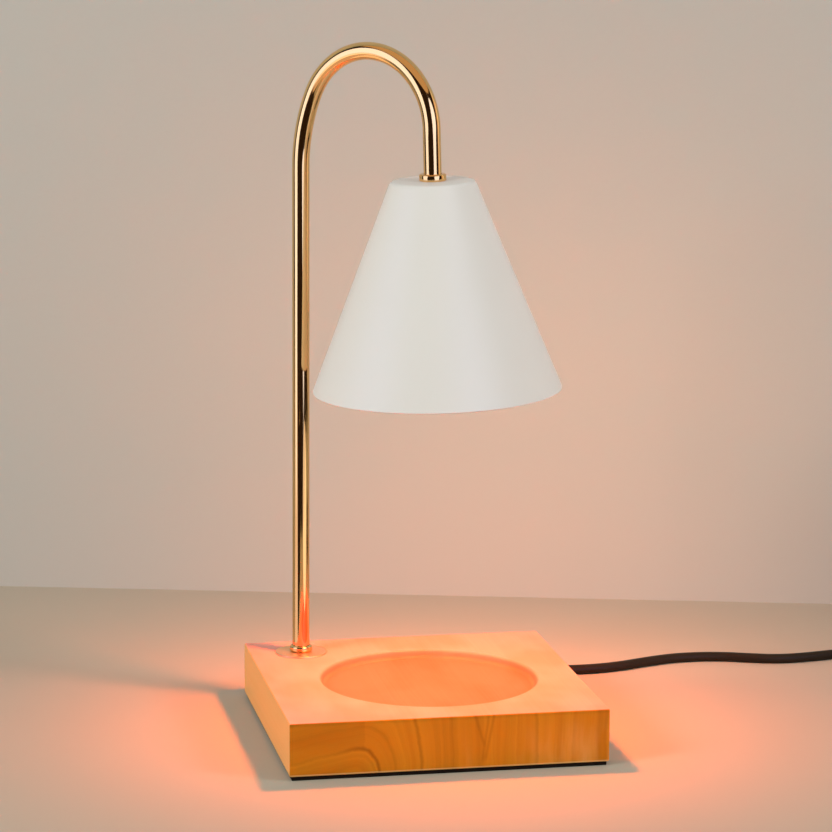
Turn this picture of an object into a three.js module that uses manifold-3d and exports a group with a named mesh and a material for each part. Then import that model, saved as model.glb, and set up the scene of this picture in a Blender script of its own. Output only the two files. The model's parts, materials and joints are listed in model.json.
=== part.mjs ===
// Candle warmer lamp: a wooden base, a bent tube, a cone shade over a halogen bulb, and a mains cord with a rotary dimmer.
// Millimetres, +Z up, +Y to the back. The origin is the middle of the underside of the pad, on the table.

import * as THREE from "three";
import { mergeVertices } from "three/addons/utils/BufferGeometryUtils.js";
import Module from "manifold-3d";

const wasm = await Module();
wasm.setup();

// Clearances shared by all pieces
const seatGap = 0.3;
const overrun = 1;
const mergeDistance = 1e-4;

// Base block and its pad
const baseWidth = 150;
const baseHeight = 25;
const baseChamfer = 0.6;
const padThickness = 2;
const padInset = 1;

// Round dish in the top of the block
const dishOffsetX = 3.5;
const dishOffsetY = -4.4;
const dishRadius = 53.3;
const dishDepth = 4;
const dishRimRound = 1.6;
const dishFloorRound = 3;
const dishFloorEndAngle = -30;
const dishRimStartAngle = 165;
const dishSteps = 48;

// Hollow under the block
const nutPocketRadius = 13;
const nutPocketDepth = 17;
const wirePocketDepth = 13;
const wirePocketLeft = 10;
const wirePocketRight = 54;
const wirePocketFront = 28;
const backWall = 9;
const pocketCornerRadius = 4;

// Tube
const poleInsetX = 25.2;
const poleInsetY = 22.4;
const tubeDiameter = 8.5;
const tubeWall = 1;
const uprightHeight = 240.9;
const shoulderRadius = 86.7;
const shoulderAngle = 24.2;
const crookLeanAngle = 1.8;
const legLength = 23.6;
const legBendRadius = 80;
const headLeanRightAngle = 1.95;
const headLeanBackAngle = 1.26;
const tubeSides = 16;
const shoulderSteps = 3;
const crookSteps = 16;
const legBendSteps = 1;

// Trim at the foot of the tube
const rosetteRadius = 12.7;
const rosetteThickness = 0.8;
const rosetteEdge = 0.4;
const collarRadius = 5.6;
const collarHeight = 3.2;
const collarRound = 1.1;

// Washer and nut that hold the tube in the block
const footWasherRadius = 10;
const footWasherThickness = 1.2;
const footNutAcross = 13;
const footNutHeight = 4;
const footThreadProud = 1.3;

// Mains cord where it enters the block
const cordDiameter = 5;
const exitFromPole = 41.8;
const grommetLength = 20;
const grommetRootRadius = 4.6;
const grommetTipRadius = 3.2;
const grommetFlangeRadius = 6.5;
const grommetFlangeThickness = 2;
const grommetNeckRadius = 4.2;
const grommetBarbRadius = 5.6;
const grommetBarbThickness = 1.5;

// Saddle over the cord, and its screws
const saddleWidth = 7;
const saddleThickness = 1.4;
const saddleEar = 8;
const saddleFromWall = 7.5;
const saddleSteps = 8;
const saddleScrewHeadRadius = 2.6;
const saddleScrewHeadHeight = 1.6;
const saddleScrewRadius = 1.3;
const saddleScrewLength = 7;

// Terminal block
const terminalLength = 18;
const terminalWidth = 14;
const terminalHeight = 10;
const terminalPitch = 7;
const terminalBoreRadius = 1.6;
const terminalTowerInset = 4.5;
const terminalScrewRadius = 1.4;
const terminalScrewLength = 3.4;
const terminalScrewSink = 0.6;
const terminalFixingRadius = 1.2;
const terminalFixingLength = 15;
const terminalFixingHeadRadius = 2.2;
const terminalFixingHeadHeight = 1;
const tailBendRadius = 12;
const tailBendSteps = 5;
const tailStraight = 3;
const tailRun = 12.4;

// Lead inside the tube
const leadDiameter = 3.6;
const leadSides = 8;
const leadDrop = 5.9;
const leadPortDrop = 1.2;
const leadStub = 1.2;
const leadStep = 3;
const leadReach = 5.2;
const leadSway = 1.3;

// Shade
const shadeTopRadius = 19.83;
const shadeBottomRadius = 59.2;
const shadeHeight = 99.25;
const shadeWall = 1;
const shadeCornerRound = 2.4;
const shadeHemRound = 0.4;
const shadeSteps = 48;
const shadeRingRadius = 6.4;
const shadeRingHeight = 3;
const shadeRingRound = 0.9;

// Clamp stack under the shade's top
const clampWasherRadius = 8;
const clampWasherThickness = 0.8;
const clampNutAcross = 12;
const clampNutHeight = 4;
const clampThreadProud = 1.6;
const bracketDepth = 12;
const bracketThickness = 1.2;
const bracketDrop = 12;
const bracketFoot = 8;

// Ceramic lamp holder, which the bracket spans
const holderRadius = 14.5;
const bracketOverhang = 1;
const bracketHalfSpan = holderRadius + bracketOverhang;
const holderHeight = 20;
const holderEdge = 1;
const holderScrewInset = 3.5;
const holderScrewSpread = holderRadius - holderScrewInset;
const holderScrewRadius = 1.3;
const holderScrewLength = 8.4;
const holderScrewHeadRadius = 2.5;
const holderScrewHeadHeight = 1.8;
const holderLeadRadius = 2.6;
const holderLeadDepth = 5;
const slotMouthDepth = 3;
const slotCavityDepth = 4.3;
const contactThickness = 0.8;

// Bulb
const bulbPinSpread = 5;
const bulbPinRadius = 1.5;
const bulbPinHeadRadius = 2.5;
const bulbPinHeadHeight = 2.5;
const bulbPinHeadRoom = 0.45;
const bulbPinRest = 0.4;
const bulbPinRoot = 2.7;
const bulbTurnAngle = 25;
const bulbSeat = 0.5;
const bulbNeckRadius = 8.4;
const bulbNeckLength = 13;
const bulbRimRadius = 25.2;
const bulbRimHeight = 6;
const bulbLength = 49.5;
const bulbGlassWall = 1.5;
const bulbShoulderRadius = 10.5;
const bulbShoulderDrop = 1.6;
const bulbFrontThickness = 2.4;
const bulbFrontInset = 1.2;
const bulbFrontDome = 0.5;
const bulbMouthDepth = 4;
const capsuleRadius = 4.3;
const capsuleTop = 8.3;
const capsuleLength = 22;
const capsuleTip = 1.2;
const capsuleTipAngle = 60;
const bulbSteps = 24;

// Dimmer on the cord
const dimmerX = 288;
const dimmerY = 9;
const dimmerWidth = 32;
const dimmerLength = 62;
const dimmerCorner = 9;
const dimmerEdge = 1.2;
const dimmerWall = 1.8;
const dimmerLowerHeight = 8;
const dimmerUpperHeight = 9;
const dimmerPostX = 9.5;
const dimmerPostY = 22;
const dimmerPostRadius = 4.2;
const dimmerUpperPostRadius = 3.2;
const dimmerSupportY = 17;
const dimmerSupportRadius = 2;
const dimmerScrewRadius = 1.3;
const dimmerScrewLength = 10;
const dimmerScrewHeadRadius = 2.7;
const dimmerScrewHeadHeight = 1.1;
const dimmerScrewSink = 1.5;
const boardWidth = 24;
const boardLength = 40;
const boardThickness = 1.6;
const boardHeight = 5.4;
const potRadius = 8;
const potBushRadius = 3.6;
const potBushProud = 1.2;
const potFloor = 1.5;
const triacWidth = 10;
const triacDepth = 4.4;
const triacHeight = 7.5;
const triacFromPot = 4;
const wireDiameter = 2.4;
const wireStopGap = 3;
const shaftRadius = 2;
const shaftClearance = 0.25;
const dialRadius = 11;
const dialHeight = 5.6;
const dialGap = 0.5;
const dialFluteDepth = 0.5;
const dialFlutes = 16;
const dialFluteSteps = 4;
const dialRoof = 1.6;
const dialEdge = 0.7;
const dialMarkWidth = 1.2;
const dialMarkDepth = 0.5;
const dialMarkStart = 4;
const sleeveLength = 20;
const sleeveRootRadius = 4.4;
const sleeveTipRadius = 3.1;
const sleeveNeckRadius = 3.2;
const sleeveBarbRadius = 4.6;
const sleeveBarbThickness = 1.4;

// Plug
const plugX = 391;
const plugY = 46;
const plugWidth = 26;
const plugBackWidth = 15;
const plugLength = 30;
const plugHeight = 15;
const plugEdge = 2;
const plugCorner = 4;
const plugShoulder = 13;
const bladeSpread = 6.35;
const bladeThickness = 1.5;
const bladeHeight = 6.3;
const bladeLength = 17;
const bladeRoot = 4.7;
const bladeHoleRadius = 1.6;
const bladeHoleFromTip = 4.5;
const plugReliefLength = 25;
const plugReliefRootRadius = 5.4;
const plugReliefTipRadius = 3.2;

// Coil of the spare cord, and its tie
const coilX = 350;
const coilY = -34;
const coilMeanRadius = 30;
const coilPitch = 5.5;
const coilTurns = 6.25;
const coilReverseTurns = 0.5;
const coilStepsPerTurn = 24;
const coilSides = 6;
const tieThickness = 0.8;
const tieWidth = 6;
const tieRound = 2;

// Steps and sides of round things
const roundSteps = 20;
const smallRoundSteps = 12;
const cordSides = 8;
const cordStep = 11;
const cornerSteps = 3;
const bevelSteps = 2;

// Routes of the cord where it isn't coiled, along its middle
const lampStretch = [
  [-8, 97.3, 12.2],
  [-8, 102.8, 12.2],
  [-7.6, 107.4, 12.1],
  [-6.2, 112, 11.6],
  [-1, 119.8, 10.1],
  [6.8, 125, 8.1],
  [16, 126.8, 6],
  [25.4, 124.8, 4.4],
  [34.6, 119, 3.2],
  [43.6, 111, 2.5],
  [53, 103, 2.5],
  [63.5, 95.8, 2.5],
  [74, 90.6, 2.5],
  [85.5, 87.9, 2.5],
  [97.8, 86.7, 2.5],
  [110.5, 87.1, 2.5],
  [124.5, 90.2, 2.5],
  [139.6, 96, 2.5],
  [154.8, 100.4, 2.5],
  [169.3, 101.1, 2.5],
  [182.9, 98.8, 2.5],
  [195.6, 94.2, 2.5],
  [204.2, 91.4, 2.5],
  [214, 90.1, 2.5],
  [228, 91.6, 2.5],
  [240.2, 94, 2.5],
  [252, 95.6, 2.5],
  [263.5, 94.9, 2.5],
  [274.6, 91.4, 2.9],
  [283, 84, 4.6],
  [287.2, 74.6, 6.9],
  [287.8, 70.4, 7.6],
  [288, 65.8, 8],
  [288, 60.3, 8],
];
const coilStretch = [
  [288, -42.3, 8],
  [288, -47.8, 8],
  [288.5, -52.6, 7.8],
  [289.9, -57.3, 7.2],
  [295.3, -65.3, 5.8],
  [303.3, -70.7, 4.4],
  [312.8, -72.6, 3.7],
  [323, -72.6, 3.6],
  [334, -72.6, 3.6],
  [344.7, -72.6, 3.6],
];
const plugStretch = [
  [388.6, -28.7, 9.1],
  [388.6, -23.2, 9.1],
  [389.2, -11, 8.2],
  [390.4, 2, 7.6],
  [391, 15, 7.5],
  [391, 20.7, 7.5],
];

// Places worked out from the sizes
const woodBottom = padThickness;
const woodTop = woodBottom + baseHeight;
const halfBase = baseWidth / 2;
const poleX = -halfBase + poleInsetX;
const poleY = halfBase - poleInsetY;
const tubeRadius = tubeDiameter / 2;
const tubeHole = tubeRadius + seatGap;
const cordRadius = cordDiameter / 2;
const leadRadius = leadDiameter / 2;
const nutPocketCeiling = woodBottom + nutPocketDepth;
const wirePocketCeiling = woodBottom + wirePocketDepth;
const pocketBack = halfBase - backWall;
const exitX = poleX + exitFromPole;
const exitZ = wirePocketCeiling - cordRadius - seatGap;
const footWasherBottom = nutPocketCeiling - footWasherThickness;
const footNutBottom = footWasherBottom - footNutHeight;
const tubeBottom = footNutBottom - footThreadProud;
const clampBracketTop = -shadeWall - seatGap;
const clampWasherTop = clampBracketTop - bracketThickness - seatGap;
const clampNutTop = clampWasherTop - clampWasherThickness - seatGap;
const tubeEndDrop = clampNutHeight - clampNutTop + clampThreadProud;
const bracketFootBottom = clampBracketTop - bracketDrop;
const holderTop = bracketFootBottom - seatGap;
const holderBottom = holderTop - holderHeight;
const slotCeiling = holderBottom + slotMouthDepth + slotCavityDepth;
const bulbTop = holderBottom - bulbSeat;
const bulbBottom = bulbTop - bulbLength;

// Materials
const oiledWood = finish(0xd98b45, 0.55, 0);
const polishedGold = finish(0xd9a45a, 0.18, 1);
const whitePaint = finish(0xe6ddd2, 0.45, 0);
const blackFoam = finish(0x1c1816, 0.9, 0);
const blackRubber = finish(0x1d1a19, 0.6, 0);
const blackPlastic = finish(0x201f20, 0.4, 0);
const zincSteel = finish(0xa8acb0, 0.35, 1);
const brass = finish(0xc79a4e, 0.35, 1);
const ceramic = finish(0xece6da, 0.5, 0);
const clearGlass = finish(0xf2e7cf, 0.08, 0);
const mirrorGlass = finish(0xd8d4cc, 0.12, 0.6);
const whiteNylon = finish(0xe8e6e0, 0.5, 0);
const greenBoard = finish(0x2f6b45, 0.5, 0);
const greySleeve = finish(0xd9d4c8, 0.6, 0);

function finish(color, roughness, metalness) {
  return new THREE.MeshStandardMaterial({ color, roughness, metalness });
}

function radians(degrees) {
  return THREE.MathUtils.degToRad(degrees);
}

// A geometry as a solid whose shared points are merged
function solidOf(geometry) {
  const bare = geometry.index ? geometry.toNonIndexed() : geometry.clone();
  bare.deleteAttribute("normal");
  bare.deleteAttribute("uv");
  const merged = mergeVertices(bare, mergeDistance);
  return new wasm.Manifold(
    new wasm.Mesh({
      numProp: 3,
      vertProperties: merged.attributes.position.array,
      triVerts: new Uint32Array(merged.index.array),
    }),
  );
}

function geometryOf(solid) {
  const made = solid.getMesh();
  const geometry = new THREE.BufferGeometry();
  geometry.setAttribute("position", new THREE.BufferAttribute(made.vertProperties, 3));
  geometry.setIndex(new THREE.BufferAttribute(made.triVerts, 1));
  geometry.computeVertexNormals();
  return geometry;
}

// The first geometry with the others cut out of it
function cut(body, ...tools) {
  const left = tools.reduce((solid, tool) => solid.subtract(solidOf(tool)), solidOf(body));
  return geometryOf(left);
}

// All geometries as one body
function join(...bodies) {
  return geometryOf(bodies.map(solidOf).reduce((all, body) => all.add(body)));
}

// A profile of [radius, height] turned about the Z axis; it starts and ends on the axis, or it is closed here
function turned(profile, steps) {
  const points = profile.map(([r, z]) => new THREE.Vector2(r, z));
  if (points[0].x > 0) points.push(points[0].clone());
  const geometry = new THREE.LatheGeometry(points, steps);
  geometry.rotateX(Math.PI / 2);
  return geometry;
}

// Points of a quarter or any other share of a circle, as [radius, height]
function arc(x, z, radius, from, to, steps) {
  return Array.from({ length: steps + 1 }, (_, i) => {
    const angle = radians(from + ((to - from) * i) / steps);
    return [x + radius * Math.cos(angle), z + radius * Math.sin(angle)];
  });
}

function rod(radius, bottom, top, steps = roundSteps) {
  return turned([[0, bottom], [radius, bottom], [radius, top], [0, top]], steps);
}

function tube(inner, outer, bottom, top, steps = roundSteps) {
  return turned([[inner, bottom], [outer, bottom], [outer, top], [inner, top]], steps);
}

// A box between two corners
function block(low, high) {
  const size = high.map((value, k) => value - low[k]);
  const middle = high.map((value, k) => (value + low[k]) / 2);
  return new THREE.BoxGeometry(...size).translate(...middle);
}

// An outline extruded up from a height, with an optional bevel that stays inside both
function plate(shape, bottom, top, bevel = 0) {
  const geometry = new THREE.ExtrudeGeometry(shape, {
    depth: top - bottom - 2 * bevel,
    curveSegments: cornerSteps,
    bevelEnabled: bevel > 0,
    bevelThickness: bevel,
    bevelSize: bevel,
    bevelOffset: -bevel,
    bevelSegments: bevelSteps,
  });
  return geometry.translate(0, 0, bottom + bevel);
}

function roundedOutline(width, depth, corner) {
  const x = width / 2;
  const y = depth / 2;
  const shape = new THREE.Shape();
  shape.absarc(x - corner, y - corner, corner, 0, Math.PI / 2);
  shape.absarc(corner - x, y - corner, corner, Math.PI / 2, Math.PI);
  shape.absarc(corner - x, corner - y, corner, Math.PI, 1.5 * Math.PI);
  shape.absarc(x - corner, corner - y, corner, 1.5 * Math.PI, 2 * Math.PI);
  return shape;
}

function polygonOutline(points) {
  return new THREE.Shape(points.map(([x, y]) => new THREE.Vector2(x, y)));
}

function circleOutline(radius, steps) {
  const ring = Array.from({ length: steps }, (_, i) => {
    const angle = (2 * Math.PI * i) / steps;
    return [radius * Math.cos(angle), radius * Math.sin(angle)];
  });
  return polygonOutline(ring);
}

// A six-sided nut with a bore
function hexNut(across, bore, bottom, top) {
  const corner = across / Math.sqrt(3);
  return cut(
    plate(circleOutline(corner, 6), bottom, top),
    rod(bore, bottom - overrun, top + overrun),
  );
}

// A screw whose head's underside is at z = 0; the head is above it and the shank below
function screw(headRadius, headHeight, radius, length) {
  return turned(
    [[0, -length], [radius, -length], [radius, 0], [headRadius, 0], [headRadius, headHeight], [0, headHeight]],
    smallRoundSteps,
  );
}

// A curve with one station for each step of a sweep
class StationCurve extends THREE.Curve {
  constructor(points) {
    super();
    this.points = points;
  }

  getPointAt(share, target = new THREE.Vector3()) {
    const index = Math.round(share * (this.points.length - 1));
    return target.copy(this.points[index]);
  }

  getTangentAt(share, target = new THREE.Vector3()) {
    const index = Math.round(share * (this.points.length - 1));
    const last = this.points.length - 1;
    const before = this.points[Math.max(index - 1, 0)];
    const here = this.points[index];
    const after = this.points[Math.min(index + 1, last)];
    const into = new THREE.Vector3().subVectors(here, before).normalize();
    const out = new THREE.Vector3().subVectors(after, here).normalize();
    return target.addVectors(into, out).normalize();
  }
}

function sweep(points, shape) {
  return new THREE.ExtrudeGeometry(shape, {
    steps: points.length - 1,
    curveSegments: cornerSteps,
    extrudePath: new StationCurve(points),
  });
}

function vectors(points) {
  return points.map((point) => new THREE.Vector3(...point));
}

// Points spaced evenly along a smooth curve through the given ones, with a straight piece at each end
function smoothed(points, spacing) {
  const [first, ...rest] = vectors(points);
  const last = rest.pop();
  const curve = new THREE.CatmullRomCurve3(rest, false, "centripetal");
  return [first, ...curve.getSpacedPoints(Math.ceil(curve.getLength() / spacing)), last];
}

function lengthOf(points) {
  return points.slice(1).reduce((sum, point, i) => sum + point.distanceTo(points[i]), 0);
}

function place(group, name, geometry, material) {
  const mesh = new THREE.Mesh(geometry, material);
  mesh.name = name;
  group.add(mesh);
}

// The middle of the bent tube: straight, shoulder, crook, and a leg that leans with the lamp head
function neckLine() {
  const inward = new THREE.Vector3(dishOffsetX - poleX, dishOffsetY - poleY, 0);
  const span = inward.length();
  inward.normalize();
  const up = new THREE.Vector3(0, 0, 1);
  const heading = (degrees) =>
    inward
      .clone()
      .multiplyScalar(Math.sin(radians(degrees)))
      .addScaledVector(up, Math.cos(radians(degrees)));
  const crookEnd = 180 - crookLeanAngle;
  const shoulderReach = shoulderRadius * (1 - Math.cos(radians(shoulderAngle)));
  const legReach = legLength * Math.sin(radians(crookLeanAngle));
  const crookRadius =
    (span - shoulderReach - legReach) / (Math.cos(radians(shoulderAngle)) - Math.cos(radians(crookEnd)));
  const headDown = new THREE.Vector3(
    Math.tan(radians(headLeanRightAngle)),
    Math.tan(radians(headLeanBackAngle)),
    -1,
  ).normalize();

  const points = [new THREE.Vector3(poleX, poleY, tubeBottom)];
  const here = new THREE.Vector3(poleX, poleY, woodTop + uprightHeight);
  points.push(here.clone());
  let direction = heading(0);
  const bend = (towards, radius, steps) => {
    const axis = new THREE.Vector3().crossVectors(direction, towards).normalize();
    const angle = direction.angleTo(towards);
    const centre = here
      .clone()
      .addScaledVector(new THREE.Vector3().crossVectors(axis, direction), radius);
    const arm = here.clone().sub(centre);
    for (let i = 1; i <= steps; i += 1) {
      here.copy(arm.clone().applyAxisAngle(axis, (angle * i) / steps)).add(centre);
      points.push(here.clone());
    }
    direction = towards;
  };
  bend(heading(shoulderAngle), shoulderRadius, shoulderSteps);
  bend(heading(crookEnd), crookRadius, crookSteps);
  const crookEndPoint = here.clone();
  bend(headDown, legBendRadius, legBendSteps);
  const used = here.distanceTo(crookEndPoint);
  const head = here.clone().addScaledVector(headDown, legLength - used);
  points.push(head.clone());
  points.push(head.clone().addScaledVector(headDown, tubeEndDrop));
  return { points, head, headDown };
}

// Block, pad and the hollow under the block
function woodenBase(group) {
  const body = plate(
    polygonOutline([[-halfBase, -halfBase], [halfBase, -halfBase], [halfBase, halfBase], [-halfBase, halfBase]]),
    woodBottom,
    woodTop,
  );
  const chamfered = solidOf(body).intersect(solidOf(chamferHull())).intersect(solidOf(edgeHull()));
  const floor = woodTop - dishDepth;
  const floorArcRadius = dishRadius - dishRimRound - dishFloorRound;
  const dish = turned(
    [
      [0, floor],
      ...arc(floorArcRadius, floor + dishFloorRound, dishFloorRound, -90, dishFloorEndAngle, cornerSteps),
      ...arc(dishRadius, woodTop - dishRimRound, dishRimRound, dishRimStartAngle, 90, cornerSteps),
      [dishRadius, woodTop + overrun],
      [0, woodTop + overrun],
    ],
    dishSteps,
  ).translate(dishOffsetX, dishOffsetY, 0);
  const wirePocket = plate(
    roundedOutline(wirePocketLeft + wirePocketRight, pocketBack - poleY + wirePocketFront, pocketCornerRadius),
    woodBottom - overrun,
    wirePocketCeiling,
  ).translate(
    poleX + (wirePocketRight - wirePocketLeft) / 2,
    (pocketBack + poleY - wirePocketFront) / 2,
    0,
  );
  const nutPocket = rod(nutPocketRadius, woodBottom - overrun, nutPocketCeiling).translate(poleX, poleY, 0);
  const poleHole = rod(tubeHole, woodBottom, woodTop + overrun).translate(poleX, poleY, 0);
  const cordHole = rod(grommetNeckRadius + seatGap, -overrun, backWall + overrun, smallRoundSteps)
    .rotateX(-Math.PI / 2)
    .translate(exitX, pocketBack, exitZ);
  const grommetRoom = rod(grommetBarbRadius + seatGap, -grommetBarbThickness - seatGap, 0)
    .rotateX(-Math.PI / 2)
    .translate(exitX, pocketBack, exitZ);
  const screwHoles = saddleScrewPlaces().map(([x, y]) =>
    rod(
      saddleScrewRadius + seatGap,
      wirePocketCeiling - overrun,
      wirePocketCeiling + saddleScrewLength - saddleThickness + overrun,
      smallRoundSteps,
    ).translate(x, y, 0),
  );
  const [terminalX, terminalY] = terminalPlace();
  const fixingHole = rod(
    terminalFixingRadius + seatGap,
    wirePocketCeiling - overrun,
    wirePocketCeiling + terminalFixingLength - terminalHeight,
    smallRoundSteps,
  ).translate(terminalX, terminalY, 0);
  place(
    group,
    "wood_base",
    cut(
      geometryOf(chamfered),
      dish,
      wirePocket,
      nutPocket,
      poleHole,
      cordHole,
      grommetRoom,
      fixingHole,
      ...screwHoles,
    ),
    oiledWood,
  );
  const padHalf = halfBase - padInset;
  place(group, "base_pad", block([-padHalf, -padHalf, 0], [padHalf, padHalf, padThickness]), blackFoam);
}

// The block's outline with its upright edges chamfered
function chamferHull() {
  const in_ = halfBase - baseChamfer;
  return plate(
    polygonOutline([
      [-in_, -halfBase],
      [in_, -halfBase],
      [halfBase, -in_],
      [halfBase, in_],
      [in_, halfBase],
      [-in_, halfBase],
      [-halfBase, in_],
      [-halfBase, -in_],
    ]),
    woodBottom,
    woodTop,
  );
}

// The block's profile with its top and bottom edges chamfered, as a four-sided turned shape
function edgeHull() {
  const corner = (half) => half * Math.SQRT2;
  const profile = [
    [0, woodBottom],
    [corner(halfBase - baseChamfer), woodBottom],
    [corner(halfBase), woodBottom + baseChamfer],
    [corner(halfBase), woodTop - baseChamfer],
    [corner(halfBase - baseChamfer), woodTop],
    [0, woodTop],
  ];
  return turned(profile, 4).rotateZ(Math.PI / 4);
}

function saddleScrewPlaces() {
  const y = pocketBack - saddleFromWall;
  const x = cordRadius + saddleThickness + saddleEar / 2;
  return [
    [exitX - x, y],
    [exitX + x, y],
  ];
}

function terminalPlace() {
  const x = exitX - tailBendRadius - tailStraight - seatGap - terminalLength / 2;
  return [x, pocketBack - tailRun - tailBendRadius];
}

// Rosette, collar, washer and nut at the foot of the tube
function poleFoot(group) {
  const foot = new THREE.Group();
  foot.position.set(poleX, poleY, 0);
  group.add(foot);
  const rosetteTop = woodTop + rosetteThickness;
  place(
    foot,
    "pole_rosette",
    turned(
      [
        [tubeHole, woodTop],
        [rosetteRadius, woodTop],
        ...arc(rosetteRadius - rosetteEdge, rosetteTop - rosetteEdge, rosetteEdge, 0, 90, bevelSteps),
        [tubeHole, rosetteTop],
      ],
      roundSteps + roundSteps / 2,
    ),
    polishedGold,
  );
  place(
    foot,
    "pole_collar",
    turned(
      [
        [tubeHole, rosetteTop],
        ...arc(collarRadius - collarRound, rosetteTop + collarRound, collarRound, -90, 0, bevelSteps),
        ...arc(
          collarRadius - collarRound,
          rosetteTop + collarHeight - collarRound,
          collarRound,
          0,
          90,
          bevelSteps,
        ),
        [tubeHole, rosetteTop + collarHeight],
      ],
      roundSteps,
    ),
    polishedGold,
  );
  place(
    foot,
    "foot_washer",
    tube(tubeHole, footWasherRadius, footWasherBottom, nutPocketCeiling),
    zincSteel,
  );
  place(foot, "foot_nut", hexNut(footNutAcross, tubeHole, footNutBottom, footWasherBottom), zincSteel);
}

// Grommet in the block's back, the cord's inner end, its saddle and the terminal block
function cordEntry(group) {
  const wallEnd = backWall;
  const grommet = turned(
    [
      [0, -grommetBarbThickness],
      [grommetNeckRadius, -grommetBarbThickness],
      [grommetBarbRadius, -seatGap],
      [grommetNeckRadius, -seatGap],
      [grommetNeckRadius, wallEnd],
      [grommetFlangeRadius, wallEnd],
      [grommetFlangeRadius, wallEnd + grommetFlangeThickness],
      [grommetRootRadius, wallEnd + grommetFlangeThickness],
      [grommetTipRadius, wallEnd + grommetFlangeThickness + grommetLength],
      [0, wallEnd + grommetFlangeThickness + grommetLength],
    ],
    roundSteps,
  );
  grommet.rotateX(-Math.PI / 2).translate(exitX, pocketBack, exitZ);
  place(group, "cord_grommet", grommet, blackRubber);

  const start = pocketBack - grommetBarbThickness - seatGap;
  const bendStart = pocketBack - tailRun;
  const bendX = exitX - tailBendRadius;
  const bendPoints = arc(bendX, bendStart, tailBendRadius, 0, -90, tailBendSteps);
  const tailPoints = [[exitX, start], ...bendPoints, [bendX - tailStraight, bendStart - tailBendRadius]];
  const tail = tailPoints.map(([x, y]) => new THREE.Vector3(x, y, exitZ));
  place(group, "mains_tail", sweep(tail, circleOutline(cordRadius, cordSides)), blackRubber);
  saddle(group);
  terminal(group);
}

function saddle(group) {
  const [left, right] = saddleScrewPlaces();
  const outer = cordRadius + seatGap + saddleThickness;
  const inner = cordRadius + seatGap;
  const reach = outer + saddleEar;
  const middle = exitZ;
  const ear = wirePocketCeiling - saddleThickness;
  const outline = polygonOutline([
    [-reach, ear],
    [-outer, ear],
    ...arc(0, middle, outer, 180, 360, saddleSteps),
    [outer, ear],
    [reach, ear],
    [reach, wirePocketCeiling],
    [inner, wirePocketCeiling],
    ...arc(0, middle, inner, 0, -180, saddleSteps),
    [-inner, wirePocketCeiling],
    [-reach, wirePocketCeiling],
  ]);
  const bar = plate(outline, -saddleWidth / 2, saddleWidth / 2)
    .rotateX(Math.PI / 2)
    .translate(exitX, left[1], 0);
  const holes = [left, right].map(([x, y]) =>
    rod(saddleScrewRadius + seatGap, ear - overrun, wirePocketCeiling + overrun, smallRoundSteps).translate(
      x,
      y,
      0,
    ),
  );
  place(group, "cord_saddle", cut(bar, ...holes), whiteNylon);
  [left, right].forEach(([x, y], i) => {
    const made = screw(saddleScrewHeadRadius, saddleScrewHeadHeight, saddleScrewRadius, saddleScrewLength);
    made.rotateX(Math.PI).translate(x, y, ear - seatGap);
    place(group, "saddle_screw_" + (i + 1), made, zincSteel);
  });
}

function terminal(group) {
  const [x, y] = terminalPlace();
  const local = new THREE.Group();
  local.position.set(x, y, wirePocketCeiling);
  group.add(local);
  const half = terminalLength / 2;
  const halfWidth = terminalWidth / 2;
  const boreZ = -terminalHeight / 2;
  const towers = [-1, 1].flatMap((sx) =>
    [-1, 1].map((sy) => [sx * (half - terminalTowerInset), (sy * terminalPitch) / 2]),
  );
  const bores = [-1, 1].map((side) =>
    rod(terminalBoreRadius, -half - overrun, half + overrun, smallRoundSteps)
      .rotateY(Math.PI / 2)
      .translate(0, (side * terminalPitch) / 2, boreZ),
  );
  const wells = towers.map(([tx, ty]) =>
    rod(terminalScrewRadius + seatGap, -terminalHeight - overrun, boreZ, smallRoundSteps).translate(tx, ty, 0),
  );
  const fixing = rod(terminalFixingRadius + seatGap, -terminalHeight - overrun, overrun, smallRoundSteps);
  place(
    local,
    "terminal_block",
    cut(block([-half, -halfWidth, -terminalHeight], [half, halfWidth, 0]), ...bores, ...wells, fixing),
    whiteNylon,
  );
  towers.forEach(([tx, ty], i) => {
    const top = -terminalHeight + terminalScrewSink + terminalScrewLength;
    place(
      local,
      "terminal_screw_" + (i + 1),
      rod(terminalScrewRadius, -terminalHeight + terminalScrewSink, top, smallRoundSteps).translate(tx, ty, 0),
      zincSteel,
    );
  });
  const fixingScrew = screw(
    terminalFixingHeadRadius,
    terminalFixingHeadHeight,
    terminalFixingRadius,
    terminalFixingLength,
  );
  fixingScrew.rotateX(Math.PI).translate(0, 0, -terminalHeight - seatGap);
  place(local, "terminal_fixing_screw", fixingScrew, zincSteel);
}

// Two-core lead from the terminal block up through the tube into the lamp holder
function innerLead(group, neck) {
  const [terminalX, terminalY] = terminalPlace();
  const portX = terminalX - terminalLength / 2 - seatGap;
  const portZ = wirePocketCeiling - terminalHeight / 2 - leadPortDrop;
  const lowZ = tubeBottom - leadDrop;
  const rise = smoothed(
    [
      [portX, terminalY, portZ],
      [portX - leadStub, terminalY, portZ],
      [poleX + leadRadius + leadReach / 2, terminalY + leadRadius / 2, (portZ + lowZ) / 2],
      [poleX + leadRadius, (terminalY + poleY) / 2 - leadSway, lowZ],
      [poleX, poleY - leadReach / 2, lowZ + leadSway],
      [poleX, poleY - leadSway / 2, tubeBottom - leadRadius],
      [poleX, poleY, tubeBottom + leadRadius],
      [poleX, poleY, tubeBottom + leadDrop],
    ],
    leadStep,
  );
  const end = neck.head.clone().addScaledVector(neck.headDown, -holderTop + holderLeadDepth - seatGap);
  const line = [...rise, ...neck.points.slice(1, -1), end];
  place(group, "inner_lead", sweep(line, circleOutline(leadRadius, leadSides)), greySleeve);
}

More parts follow.
